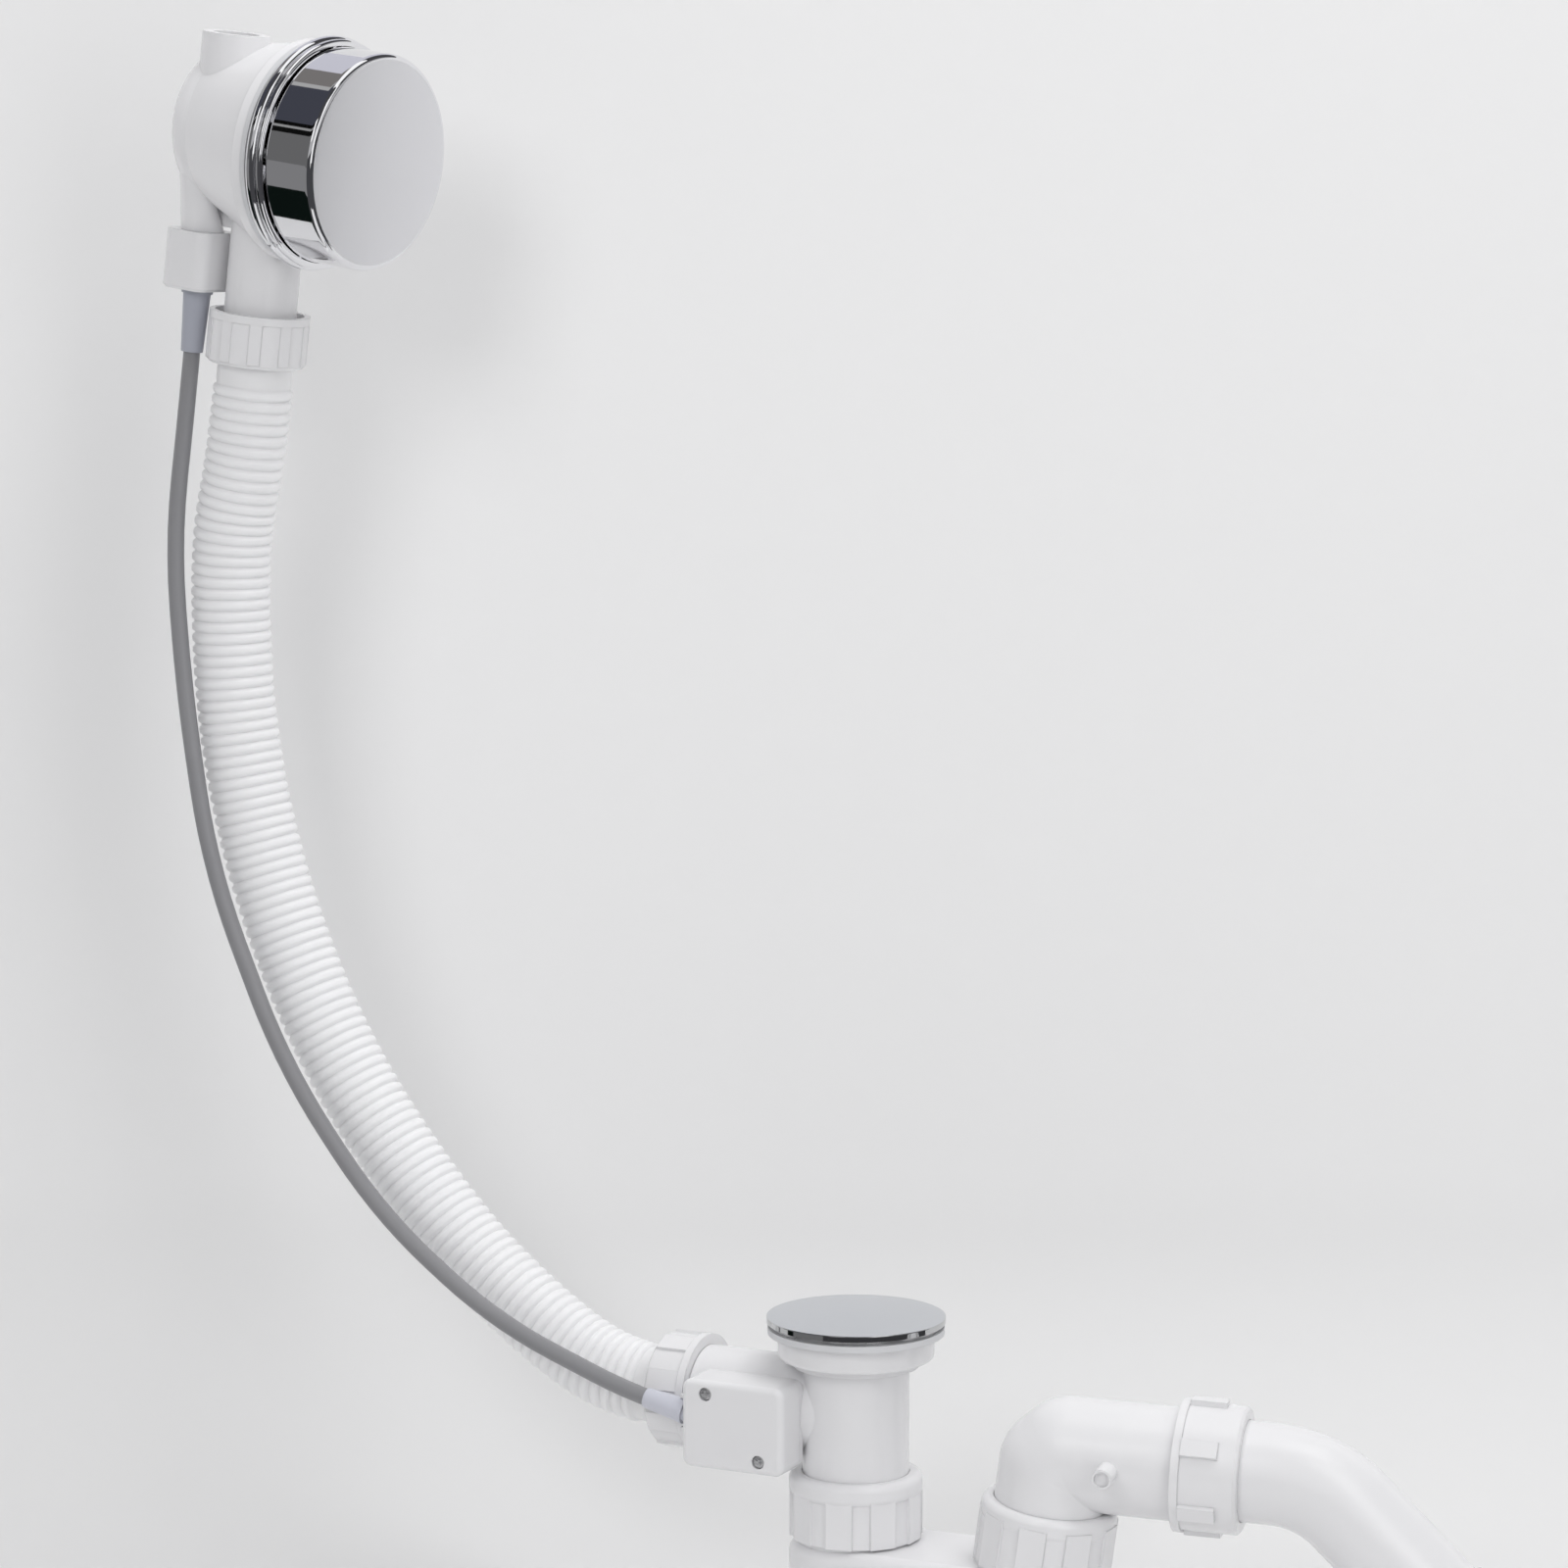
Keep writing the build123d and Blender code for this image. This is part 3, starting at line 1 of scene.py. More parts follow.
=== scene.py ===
import json
from math import atan2, cos, pi, radians, sin
import bpy
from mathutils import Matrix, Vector


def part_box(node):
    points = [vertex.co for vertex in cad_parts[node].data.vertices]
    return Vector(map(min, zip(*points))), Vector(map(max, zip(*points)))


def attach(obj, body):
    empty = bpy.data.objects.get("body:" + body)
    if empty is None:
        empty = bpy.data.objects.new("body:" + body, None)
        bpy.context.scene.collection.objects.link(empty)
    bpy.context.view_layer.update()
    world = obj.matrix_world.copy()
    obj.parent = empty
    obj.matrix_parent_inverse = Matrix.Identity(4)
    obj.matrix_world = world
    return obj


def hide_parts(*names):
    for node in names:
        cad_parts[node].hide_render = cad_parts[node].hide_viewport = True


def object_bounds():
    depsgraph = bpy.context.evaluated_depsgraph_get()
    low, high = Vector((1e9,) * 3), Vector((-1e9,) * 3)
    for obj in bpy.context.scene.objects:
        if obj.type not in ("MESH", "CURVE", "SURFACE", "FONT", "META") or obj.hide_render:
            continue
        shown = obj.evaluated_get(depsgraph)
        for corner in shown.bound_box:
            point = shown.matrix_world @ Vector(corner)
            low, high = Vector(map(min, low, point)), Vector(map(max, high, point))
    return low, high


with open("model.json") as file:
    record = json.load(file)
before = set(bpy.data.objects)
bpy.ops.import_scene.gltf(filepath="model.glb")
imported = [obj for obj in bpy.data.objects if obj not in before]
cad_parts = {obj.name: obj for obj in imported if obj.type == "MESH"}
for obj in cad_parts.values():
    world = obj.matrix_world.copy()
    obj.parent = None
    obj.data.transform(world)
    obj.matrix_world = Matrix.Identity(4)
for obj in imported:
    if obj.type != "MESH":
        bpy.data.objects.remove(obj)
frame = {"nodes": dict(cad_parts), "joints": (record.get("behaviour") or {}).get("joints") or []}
nodes = frame["nodes"]
cad_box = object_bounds()
bpy.ops.object.select_all(action="DESELECT")

# Waste body: the white moulding under the bath's outlet, with its flange, tube, side inlet and back plate.
# Injection moulded in one piece; its skin has a faint orange peel, soft edges and a barely uneven white.
# It is clamped to the bath by the hollow centre screw.


def skin_group():
    """Moulded skin: an uneven colour, a roughness that wanders a little, and a fine peel."""
    group = bpy.data.node_groups.new("moulded_skin", "ShaderNodeTree")
    face = group.interface
    face.new_socket("Colour", in_out="INPUT", socket_type="NodeSocketColor")
    face.new_socket("Shade", in_out="INPUT", socket_type="NodeSocketColor")
    for name, value in (("Patch Scale", 30.0), ("Peel Scale", 700.0), ("Smoothest", 0.2), ("Roughest", 0.3)):
        socket = face.new_socket(name, in_out="INPUT", socket_type="NodeSocketFloat")
        socket.default_value = value
    face.new_socket("Colour", in_out="OUTPUT", socket_type="NodeSocketColor")
    face.new_socket("Roughness", in_out="OUTPUT", socket_type="NodeSocketFloat")
    face.new_socket("Height", in_out="OUTPUT", socket_type="NodeSocketFloat")
    make = group.nodes.new
    link = group.links.new
    entry = make("NodeGroupInput")
    leave = make("NodeGroupOutput")
    place = make("ShaderNodeTexCoord")
    patches = make("ShaderNodeTexNoise")
    patches.inputs["Detail"].default_value = 3.0
    peel = make("ShaderNodeTexNoise")
    peel.inputs["Detail"].default_value = 2.0
    blend = make("ShaderNodeMix")
    blend.data_type = "RGBA"
    rough = make("ShaderNodeMapRange")
    link(place.outputs["Object"], patches.inputs["Vector"])
    link(place.outputs["Object"], peel.inputs["Vector"])
    link(entry.outputs["Patch Scale"], patches.inputs["Scale"])
    link(entry.outputs["Peel Scale"], peel.inputs["Scale"])
    link(patches.outputs["Fac"], blend.inputs["Factor"])
    link(entry.outputs["Colour"], blend.inputs["A"])
    link(entry.outputs["Shade"], blend.inputs["B"])
    link(patches.outputs["Fac"], rough.inputs["Value"])
    link(entry.outputs["Smoothest"], rough.inputs["To Min"])
    link(entry.outputs["Roughest"], rough.inputs["To Max"])
    link(blend.outputs["Result"], leave.inputs["Colour"])
    link(rough.outputs["Result"], leave.inputs["Roughness"])
    link(peel.outputs["Fac"], leave.inputs["Height"])
    return group


moulded_skin = skin_group()


def moulding(name, colour, shade, smoothest, roughest, peel_depth, edge_round):
    """Plastic or rubber with the moulded skin and softened edges."""
    finish = bpy.data.materials.new(name)
    finish.use_nodes = True
    tree = finish.node_tree
    shader = tree.nodes["Principled BSDF"]
    skin = tree.nodes.new("ShaderNodeGroup")
    skin.node_tree = moulded_skin
    skin.inputs["Colour"].default_value = (*colour, 1)
    skin.inputs["Shade"].default_value = (*shade, 1)
    skin.inputs["Smoothest"].default_value = smoothest
    skin.inputs["Roughest"].default_value = roughest
    bump = tree.nodes.new("ShaderNodeBump")
    bump.inputs["Strength"].default_value = 0.25
    bump.inputs["Distance"].default_value = peel_depth
    tree.links.new(skin.outputs["Colour"], shader.inputs["Base Color"])
    tree.links.new(skin.outputs["Roughness"], shader.inputs["Roughness"])
    tree.links.new(skin.outputs["Height"], bump.inputs["Height"])
    if edge_round:
        soft = tree.nodes.new("ShaderNodeBevel")
        soft.samples = 4
        soft.inputs["Radius"].default_value = edge_round
        tree.links.new(soft.outputs["Normal"], bump.inputs["Normal"])
    tree.links.new(bump.outputs["Normal"], shader.inputs["Normal"])
    shader.inputs["IOR"].default_value = 1.49
    return finish


def dress(finish, *names):
    """Gives CAD nodes their finish."""
    for name in names:
        if nodes[name].material_slots:
            for slot in nodes[name].material_slots:
                slot.material = finish
        else:
            nodes[name].data.materials.append(finish)


white_moulding = moulding("white_moulding", (0.84, 0.84, 0.85), (0.82, 0.815, 0.83),
                          smoothest=0.2, roughest=0.28, peel_depth=0.00004, edge_round=0.0006)
dress(white_moulding, "waste_body")

# Waste gasket: the pale soft ring between the waste's flange and the bath, moulded in grey rubber.
# The ring behind the overflow is the same; the plug's seal and the joints' washers are black rubber.
gasket_rubber = moulding("gasket_rubber", (0.7, 0.705, 0.725), (0.66, 0.665, 0.68),
                         smoothest=0.42, roughest=0.55, peel_depth=0.00005, edge_round=0.0003)
black_rubber = moulding("black_rubber", (0.03, 0.03, 0.032), (0.045, 0.045, 0.046),
                        smoothest=0.5, roughest=0.65, peel_depth=0.00006, edge_round=0.0002)
dress(gasket_rubber, "waste_gasket", "overflow_gasket")
dress(black_rubber, "plug_seal", "trap_inlet_washer", "riser_washer", "union_washer", "upper_hose_seal",
      "lower_hose_seal")

# Valve flange, centre screw and stem: turned stainless steel and brass below the plug.
# The hollow screw draws the flange down on the bath; the stem slides in it and carries the plug.


def turned_group():
    """Turned metal: fine rings round an axis, as a brightness and a height."""
    group = bpy.data.node_groups.new("turned_rings", "ShaderNodeTree")
    face = group.interface
    face.new_socket("Vector", in_out="INPUT", socket_type="NodeSocketVector")
    for name, value in (("Ring Scale", 900.0), ("Cloud Scale", 60.0), ("Smoothest", 0.2), ("Roughest", 0.3)):
        socket = face.new_socket(name, in_out="INPUT", socket_type="NodeSocketFloat")
        socket.default_value = value
    face.new_socket("Roughness", in_out="OUTPUT", socket_type="NodeSocketFloat")
    face.new_socket("Height", in_out="OUTPUT", socket_type="NodeSocketFloat")
    make = group.nodes.new
    link = group.links.new
    entry = make("NodeGroupInput")
    leave = make("NodeGroupOutput")
    rings = make("ShaderNodeTexWave")
    rings.wave_type = "RINGS"
    rings.rings_direction = "Z"
    rings.inputs["Distortion"].default_value = 1.5
    rings.inputs["Detail"].default_value = 3.0
    clouds = make("ShaderNodeTexNoise")
    rough = make("ShaderNodeMapRange")
    link(entry.outputs["Vector"], rings.inputs["Vector"])
    link(entry.outputs["Ring Scale"], rings.inputs["Scale"])
    link(entry.outputs["Vector"], clouds.inputs["Vector"])
    link(entry.outputs["Cloud Scale"], clouds.inputs["Scale"])
    link(clouds.outputs["Fac"], rough.inputs["Value"])
    link(entry.outputs["Smoothest"], rough.inputs["To Min"])
    link(entry.outputs["Roughest"], rough.inputs["To Max"])
    link(rough.outputs["Result"], leave.inputs["Roughness"])
    link(rings.outputs["Fac"], leave.inputs["Height"])
    return group


turned_rings = turned_group()


def turned_metal(name, colour, smoothest, roughest, ring_depth, origin=(0, 0, 0), axis=(0, 0, 1)):
    """Metal turned round an axis through a point."""
    finish = bpy.data.materials.new(name)
    finish.use_nodes = True
    tree = finish.node_tree
    shader = tree.nodes["Principled BSDF"]
    place = tree.nodes.new("ShaderNodeTexCoord")
    turn = tree.nodes.new("ShaderNodeMapping")
    turn.vector_type = "TEXTURE"
    turn.inputs["Location"].default_value = origin
    turn.inputs["Rotation"].default_value = Vector(axis).to_track_quat("Z", "Y").to_euler()
    rings = tree.nodes.new("ShaderNodeGroup")
    rings.node_tree = turned_rings
    rings.inputs["Smoothest"].default_value = smoothest
    rings.inputs["Roughest"].default_value = roughest
    bump = tree.nodes.new("ShaderNodeBump")
    bump.inputs["Strength"].default_value = 0.2
    bump.inputs["Distance"].default_value = ring_depth
    tree.links.new(place.outputs["Object"], turn.inputs["Vector"])
    tree.links.new(turn.outputs["Vector"], rings.inputs["Vector"])
    tree.links.new(rings.outputs["Roughness"], shader.inputs["Roughness"])
    tree.links.new(rings.outputs["Height"], bump.inputs["Height"])
    tree.links.new(bump.outputs["Normal"], shader.inputs["Normal"])
    shader.inputs["Base Color"].default_value = (*colour, 1)
    shader.inputs["Metallic"].default_value = 1.0
    return finish


turned_steel = turned_metal("turned_steel", (0.62, 0.62, 0.63), smoothest=0.22, roughest=0.34,
                            ring_depth=0.00002)
plain_brass = turned_metal("plain_brass", (0.72, 0.56, 0.3), smoothest=0.25, roughest=0.35,
                           ring_depth=0.00002)
dress(turned_steel, "valve_flange", "plug_stem", "stem_nut")
dress(plain_brass, "flange_screw")

# Plug: the chromed cap over the waste, satin on its crown and smooth on its narrow rim, whose plate colour
# is darker than the knob's as a painted dark reflection.
# Pressed brass, plated; it sits on the seal and rises with its stem.


def face_group():
    """Satin face on a bright plated piece: satin beyond a height along the axis, bright below it."""
    group = bpy.data.node_groups.new("satin_face", "ShaderNodeTree")
    face = group.interface
    face.new_socket("Vector", in_out="INPUT", socket_type="NodeSocketVector")
    face.new_socket("Bright", in_out="INPUT", socket_type="NodeSocketColor")
    face.new_socket("Satin", in_out="INPUT", socket_type="NodeSocketColor")
    for name, value in (("Face From", 0.007), ("Face To", 0.0072),
                        ("Bright Rough", 0.04), ("Satin Rough", 0.32)):
        socket = face.new_socket(name, in_out="INPUT", socket_type="NodeSocketFloat")
        socket.default_value = value
    face.new_socket("Colour", in_out="OUTPUT", socket_type="NodeSocketColor")
    face.new_socket("Roughness", in_out="OUTPUT", socket_type="NodeSocketFloat")
    make = group.nodes.new
    link = group.links.new
    entry = make("NodeGroupInput")
    leave = make("NodeGroupOutput")
    parts = make("ShaderNodeSeparateXYZ")
    step = make("ShaderNodeMapRange")
    clouds = make("ShaderNodeTexNoise")
    clouds.inputs["Scale"].default_value = 90.0
    haze = make("ShaderNodeMath")
    haze.operation = "MULTIPLY_ADD"
    haze.inputs[1].default_value = 0.02
    rough = make("ShaderNodeMix")
    colour = make("ShaderNodeMix")
    colour.data_type = "RGBA"
    link(entry.outputs["Vector"], parts.inputs["Vector"])
    link(entry.outputs["Vector"], clouds.inputs["Vector"])
    link(parts.outputs["Z"], step.inputs["Value"])
    link(entry.outputs["Face From"], step.inputs["From Min"])
    link(entry.outputs["Face To"], step.inputs["From Max"])
    link(clouds.outputs["Fac"], haze.inputs[0])
    link(entry.outputs["Satin Rough"], haze.inputs[2])
    link(step.outputs["Result"], rough.inputs["Factor"])
    link(entry.outputs["Bright Rough"], rough.inputs["A"])
    link(haze.outputs["Value"], rough.inputs["B"])
    link(step.outputs["Result"], colour.inputs["Factor"])
    link(entry.outputs["Bright"], colour.inputs["A"])
    link(entry.outputs["Satin"], colour.inputs["B"])
    link(colour.outputs["Result"], leave.inputs["Colour"])
    link(rough.outputs["Result"], leave.inputs["Roughness"])
    return group


satin_face = face_group()


def plated(name, bright, satin, satin_rough, face_from, face_to, origin=(0, 0, 0), axis=(0, 0, 1)):
    """Chrome plate that is bright at the side and satin on the face."""
    finish = bpy.data.materials.new(name)
    finish.use_nodes = True
    tree = finish.node_tree
    shader = tree.nodes["Principled BSDF"]
    place = tree.nodes.new("ShaderNodeTexCoord")
    turn = tree.nodes.new("ShaderNodeMapping")
    turn.vector_type = "TEXTURE"
    turn.inputs["Location"].default_value = origin
    turn.inputs["Rotation"].default_value = Vector(axis).to_track_quat("Z", "Y").to_euler()
    both = tree.nodes.new("ShaderNodeGroup")
    both.node_tree = satin_face
    both.inputs["Bright"].default_value = (*bright, 1)
    both.inputs["Satin"].default_value = (*satin, 1)
    both.inputs["Satin Rough"].default_value = satin_rough
    both.inputs["Face From"].default_value = face_from
    both.inputs["Face To"].default_value = face_to
    tree.links.new(place.outputs["Object"], turn.inputs["Vector"])
    tree.links.new(turn.outputs["Vector"], both.inputs["Vector"])
    tree.links.new(both.outputs["Colour"], shader.inputs["Base Color"])
    tree.links.new(both.outputs["Roughness"], shader.inputs["Roughness"])
    shader.inputs["Metallic"].default_value = 1.0
    return finish


def spun(name, strips, steps):
    """Profile strips, as (along, radius) points, spun round the X axis."""
    points = []
    edges = []
    for strip in strips:
        start = len(points)
        points += [(along, 0, radius) for along, radius in strip]
        edges += [(start + i, start + i + 1) for i in range(len(strip) - 1)]
    mesh = bpy.data.meshes.new(name)
    mesh.from_pydata(points, edges, [])
    piece = bpy.data.objects.new(name, mesh)
    bpy.context.collection.objects.link(piece)
    bpy.ops.object.select_all(action="DESELECT")
    bpy.context.view_layer.objects.active = piece
    piece.select_set(True)
    bpy.ops.object.mode_set(mode="EDIT")
    bpy.ops.mesh.select_all(action="SELECT")
    bpy.ops.mesh.spin(steps=steps, angle=2 * pi, center=(0, 0, 0), axis=(1, 0, 0))
    bpy.ops.mesh.select_all(action="SELECT")
    bpy.ops.mesh.remove_doubles(threshold=1e-6)
    bpy.ops.object.mode_set(mode="OBJECT")
    return piece


def lathe(name, profile, steps, place, axis):
    """Turned piece with a closed profile, which stands on a place along an axis."""
    piece = spun(name, [profile], steps)
    piece.location = place
    piece.rotation_euler = Vector(axis).to_track_quat("X", "Y").to_euler()
    bpy.ops.object.transform_apply(location=True, rotation=True, scale=True)
    bpy.ops.object.mode_set(mode="EDIT")
    bpy.ops.mesh.select_all(action="SELECT")
    bpy.ops.mesh.normals_make_consistent(inside=False)
    bpy.ops.object.mode_set(mode="OBJECT")
    bpy.ops.object.shade_smooth_by_angle(angle=radians(32))
    return piece


def rounded(corner_from, corner_to, inner, steps):
    """Quarter bend of a profile between two points, round the inner one."""
    bend = []
    for i in range(steps + 1):
        turn = i / steps * pi / 2
        bend.append(tuple(centre + (start - centre) * cos(turn) + (end - centre) * sin(turn)
                          for start, end, centre in zip(corner_from, corner_to, inner)))
    return bend


def crown(rim_at, rim_r, rise, rings):
    """Gently domed face from its middle to its rim."""
    return [(rim_at + rise * (1 - (i / rings) ** 2), rim_r * i / rings) for i in range(rings + 1)]


plug_r = 0.036
plug_under = 0.0046
plug_rim = 0.0070
plug_break = 0.0004
plug_dome = 0.0016
plug_face_blend = 0.0002
seal_groove_out, seal_groove_in, seal_groove_top = 0.030, 0.025, 0.006
boss_r, boss_end = 0.0065, 0.0036
stem_hole_r = 0.00305
edge_loop = 0.0001
plug_profile = crown(plug_rim, plug_r - plug_break, plug_dome, rings=10)
plug_profile += rounded((plug_rim, plug_r - plug_break), (plug_rim - plug_break, plug_r),
                        (plug_rim - plug_break, plug_r - plug_break), steps=4)[1:]
plug_profile += [(plug_rim - plug_break - edge_loop, plug_r), (plug_under, plug_r),
                 (plug_under, seal_groove_out), (seal_groove_top, seal_groove_out),
                 (seal_groove_top, seal_groove_in), (plug_under, seal_groove_in),
                 (plug_under, boss_r), (boss_end, boss_r), (boss_end, stem_hole_r),
                 (plug_rim, stem_hole_r), (plug_rim, 0)]
plug_cap = lathe("plug_cap", plug_profile, steps=160, place=(0, 0, 0), axis=(0, 0, 1))
# The rim's plate colour (0.55) is set darker than real chrome: a painted dark reflection along the plug's
# rim.
plug_chrome = plated("plug_chrome", (0.55, 0.555, 0.56), (0.68, 0.7, 0.735), satin_rough=0.24,
                     face_from=plug_rim - plug_face_blend, face_to=plug_rim)
plug_cap.data.materials.append(plug_chrome)
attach(plug_cap, "plug")
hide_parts("plug")

# Mechanism box: the moulded cover over the rocker, screwed to the waste body's back plate.
# The rocker's lever is natural plastic on a steel shaft.
natural_plastic = moulding("natural_plastic", (0.78, 0.78, 0.76), (0.74, 0.74, 0.72),
                           smoothest=0.35, roughest=0.45, peel_depth=0.00005, edge_round=0.0004)
dress(white_moulding, "mechanism_cover")
dress(natural_plastic, "rocker_lever", "cable_drum")
dress(turned_steel, "rocker_shaft")

# Cover screws: two small pan heads with a cross recess, zinc plated, sunk in the cover's round pockets.
# They run through the box into the waste body's back plate.
screws_low, screws_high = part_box("cover_screws")
screw_r = 0.0025
screw_head_t = 0.0018
screw_shank_r = 0.0015
screw_edge = 0.0006
shank_overlap = 0.0001
cross_long, cross_wide, cross_deep = 0.0032, 0.0008, 0.0022
screw_front = screws_low.y
bpy.ops.object.select_all(action="DESELECT")
bpy.ops.mesh.primitive_cylinder_add(vertices=40, radius=screw_r, depth=screw_head_t, rotation=(pi / 2, 0, 0),
                                    location=(0, screw_front + screw_head_t / 2, 0))
cover_screw = bpy.context.object
cover_screw.name = "cover_screw_heads"
bpy.ops.object.transform_apply(location=True, rotation=True, scale=True)
for face in cover_screw.data.polygons:
    face.select = face.normal.y < -0.9
bpy.ops.object.mode_set(mode="EDIT")
bpy.ops.mesh.select_mode(type="FACE")
bpy.ops.mesh.bevel(offset=screw_edge, segments=3)
bpy.ops.mesh.select_all(action="DESELECT")
bpy.ops.object.mode_set(mode="OBJECT")
cross_arms = []
for wide, high in ((cross_long, cross_wide), (cross_wide, cross_long)):
    bpy.ops.mesh.primitive_cube_add(size=1, location=(0, screw_front, 0))
    arm = bpy.context.object
    arm.scale = (wide, cross_deep, high)
    bpy.ops.object.transform_apply(location=True, rotation=True, scale=True)
    cross_arms.append(arm)
for arm in cross_arms:
    bpy.ops.object.select_all(action="DESELECT")
    cover_screw.select_set(True)
    bpy.context.view_layer.objects.active = cover_screw
    recess = cover_screw.modifiers.new("recess", "BOOLEAN")
    recess.operation = "DIFFERENCE"
    recess.solver = "EXACT"
    recess.object = arm
    bpy.ops.object.modifier_apply(modifier="recess")
    bpy.data.objects.remove(arm)
shank_from = screw_front + screw_head_t - shank_overlap
bpy.ops.mesh.primitive_cylinder_add(vertices=24, radius=screw_shank_r, depth=screws_high.y - shank_from,
                                    rotation=(pi / 2, 0, 0),
                                    location=(0, (screws_high.y + shank_from) / 2, 0))
bpy.ops.object.transform_apply(location=True, rotation=True, scale=True)
cover_screw.select_set(True)
bpy.context.view_layer.objects.active = cover_screw
bpy.ops.object.join()
bpy.ops.object.shade_smooth_by_angle(angle=radians(35))
second_screw = cover_screw.copy()
second_screw.data = cover_screw.data.copy()
bpy.context.collection.objects.link(second_screw)
cover_screw.location = (screws_low.x + screw_r, 0, screws_high.z - screw_r)
second_screw.location = (screws_high.x - screw_r, 0, screws_low.z + screw_r)
second_screw.rotation_euler = (0, radians(35), 0)
bpy.ops.object.select_all(action="DESELECT")
second_screw.select_set(True)
cover_screw.select_set(True)
bpy.context.view_layer.objects.active = cover_screw
bpy.ops.object.join()
bpy.ops.object.transform_apply(location=True, rotation=True, scale=True)
screw_zinc = turned_metal("screw_zinc", (0.72, 0.72, 0.73), smoothest=0.42, roughest=0.52,
                          ring_depth=0.00001)
cover_screw.data.materials.append(screw_zinc)
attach(cover_screw, "drain")
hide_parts("cover_screws")

# Trap, elbow and outlet bend: white mouldings joined by hand-tight nuts over rubber washers.
# The nuts are moulded with a rounded collar or a ring and a row of grip lugs.
dress(white_moulding, "trap_inlet_nut", "trap_body", "riser_nut", "outlet_elbow", "union_nut", "outlet_bend")

# Overflow head: the white moulding on the back of the bath's wall, with filler stub, spout and hose spigot.
# The block clipped over the spout holds the cable's end.
dress(white_moulding, "overflow_body", "cable_clip_housing", "upper_hose_nut", "lower_hose_nut")

# Overflow hose: soft white corrugated pipe between the head's spigot and the waste's side inlet.
# Blown in ribs about 4.7 mm apart with plain cuffs, it is held at both ends by the hose nuts.
hose_points = [(-0.2744807, 0.384641), (-0.2791117, 0.3469243), (-0.2905, 0.297), (-0.2845, 0.200),
               (-0.248, 0.102), (-0.188, 0.024), (-0.136, -0.017), (-0.1025, -0.032), (-0.0805, -0.032)]
hose_r = 0.0165
hose_groove = 0.0013
hose_bore = 0.0137
hose_pitch = 0.0047
cuff_r = 0.0155
cuff_length = 0.0135
cuff_slope = 0.001
flange_r = 0.0182
flange_t = 0.002
hose_sides = 72

hose_curve = bpy.data.curves.new("hose_line", "CURVE")
hose_curve.dimensions = "3D"
hose_spline = hose_curve.splines.new("NURBS")
hose_spline.points.add(len(hose_points) - 1)
for point, (x, z) in zip(hose_spline.points, hose_points):
    point.co = (x, 0, z, 1)
hose_spline.order_u = 3
hose_spline.use_endpoint_u = True
hose_curve.resolution_u = 48
hose_line = bpy.data.objects.new("hose_line", hose_curve)
bpy.context.collection.objects.link(hose_line)
bpy.context.view_layer.update()
line_mesh = bpy.data.meshes.new_from_object(hose_line)
line_points = [vertex.co.copy() for vertex in line_mesh.vertices]
hose_length = sum((b - a).length for a, b in zip(line_points, line_points[1:]))
bpy.data.meshes.remove(line_mesh)
ribbed = hose_length - 2 * cuff_length
ribs = round(ribbed / hose_pitch)
pitch = ribbed / ribs
groove_r = hose_r - hose_groove
rib_round = 0.2 * hose_groove
rib_profile = [(0, groove_r), (0.1, groove_r + rib_round), (0.22, hose_r - rib_round), (0.36, hose_r),
               (0.64, hose_r), (0.78, hose_r - rib_round), (0.9, groove_r + rib_round), (1, groove_r)]
rib_strip = [(cuff_length + share * pitch, radius) for share, radius in rib_profile]
bore_strip = [(cuff_length, hose_bore), (cuff_length + pitch, hose_bore)]
corrugated_hose = spun("corrugated_hose", [rib_strip, bore_strip], hose_sides)
repeat = corrugated_hose.modifiers.new("ribs", "ARRAY")
repeat.count = ribs
repeat.use_relative_offset = False
repeat.use_constant_offset = True
repeat.constant_offset_displace = (pitch, 0, 0)
repeat.use_merge_vertices = True
repeat.merge_threshold = 1e-6
bpy.ops.object.modifier_apply(modifier="ribs")
cuff_strip = [(cuff_length, groove_r), (cuff_length - cuff_slope, cuff_r), (flange_t, cuff_r),
              (flange_t, flange_r), (0, flange_r), (0, hose_bore), (cuff_length / 2, hose_bore),
              (cuff_length, hose_bore)]
top_cuff = spun("top_cuff", [cuff_strip], hose_sides)
end_cuff = spun("end_cuff", [[(hose_length - along, radius) for along, radius in cuff_strip]], hose_sides)
bpy.ops.object.select_all(action="DESELECT")
for piece in (top_cuff, end_cuff, corrugated_hose):
    piece.select_set(True)
bpy.context.view_layer.objects.active = corrugated_hose
bpy.ops.object.join()
bpy.ops.object.mode_set(mode="EDIT")
bpy.ops.mesh.select_all(action="SELECT")
bpy.ops.mesh.remove_doubles(threshold=2e-6)
bpy.ops.mesh.normals_make_consistent(inside=False)
bpy.ops.object.mode_set(mode="OBJECT")
follow = corrugated_hose.modifiers.new("route", "CURVE")
follow.object = hose_line
follow.deform_axis = "POS_X"
bpy.ops.object.modifier_apply(modifier="route")
bpy.ops.object.shade_smooth_by_angle(angle=radians(50))
bpy.data.objects.remove(hose_line)

hose_plastic = moulding("hose_plastic", (0.93, 0.93, 0.945), (0.9, 0.9, 0.92),
                        smoothest=0.3, roughest=0.4, peel_depth=0.00003, edge_round=0)
hose_shader = hose_plastic.node_tree.nodes["Principled BSDF"]
hose_shader.inputs["Subsurface Weight"].default_value = 0.6
hose_shader.inputs["Subsurface Radius"].default_value = (1.0, 1.0, 1.0)
hose_shader.inputs["Subsurface Scale"].default_value = 0.003
corrugated_hose.data.materials.append(hose_plastic)
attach(corrugated_hose, "drain")
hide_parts("overflow_hose")

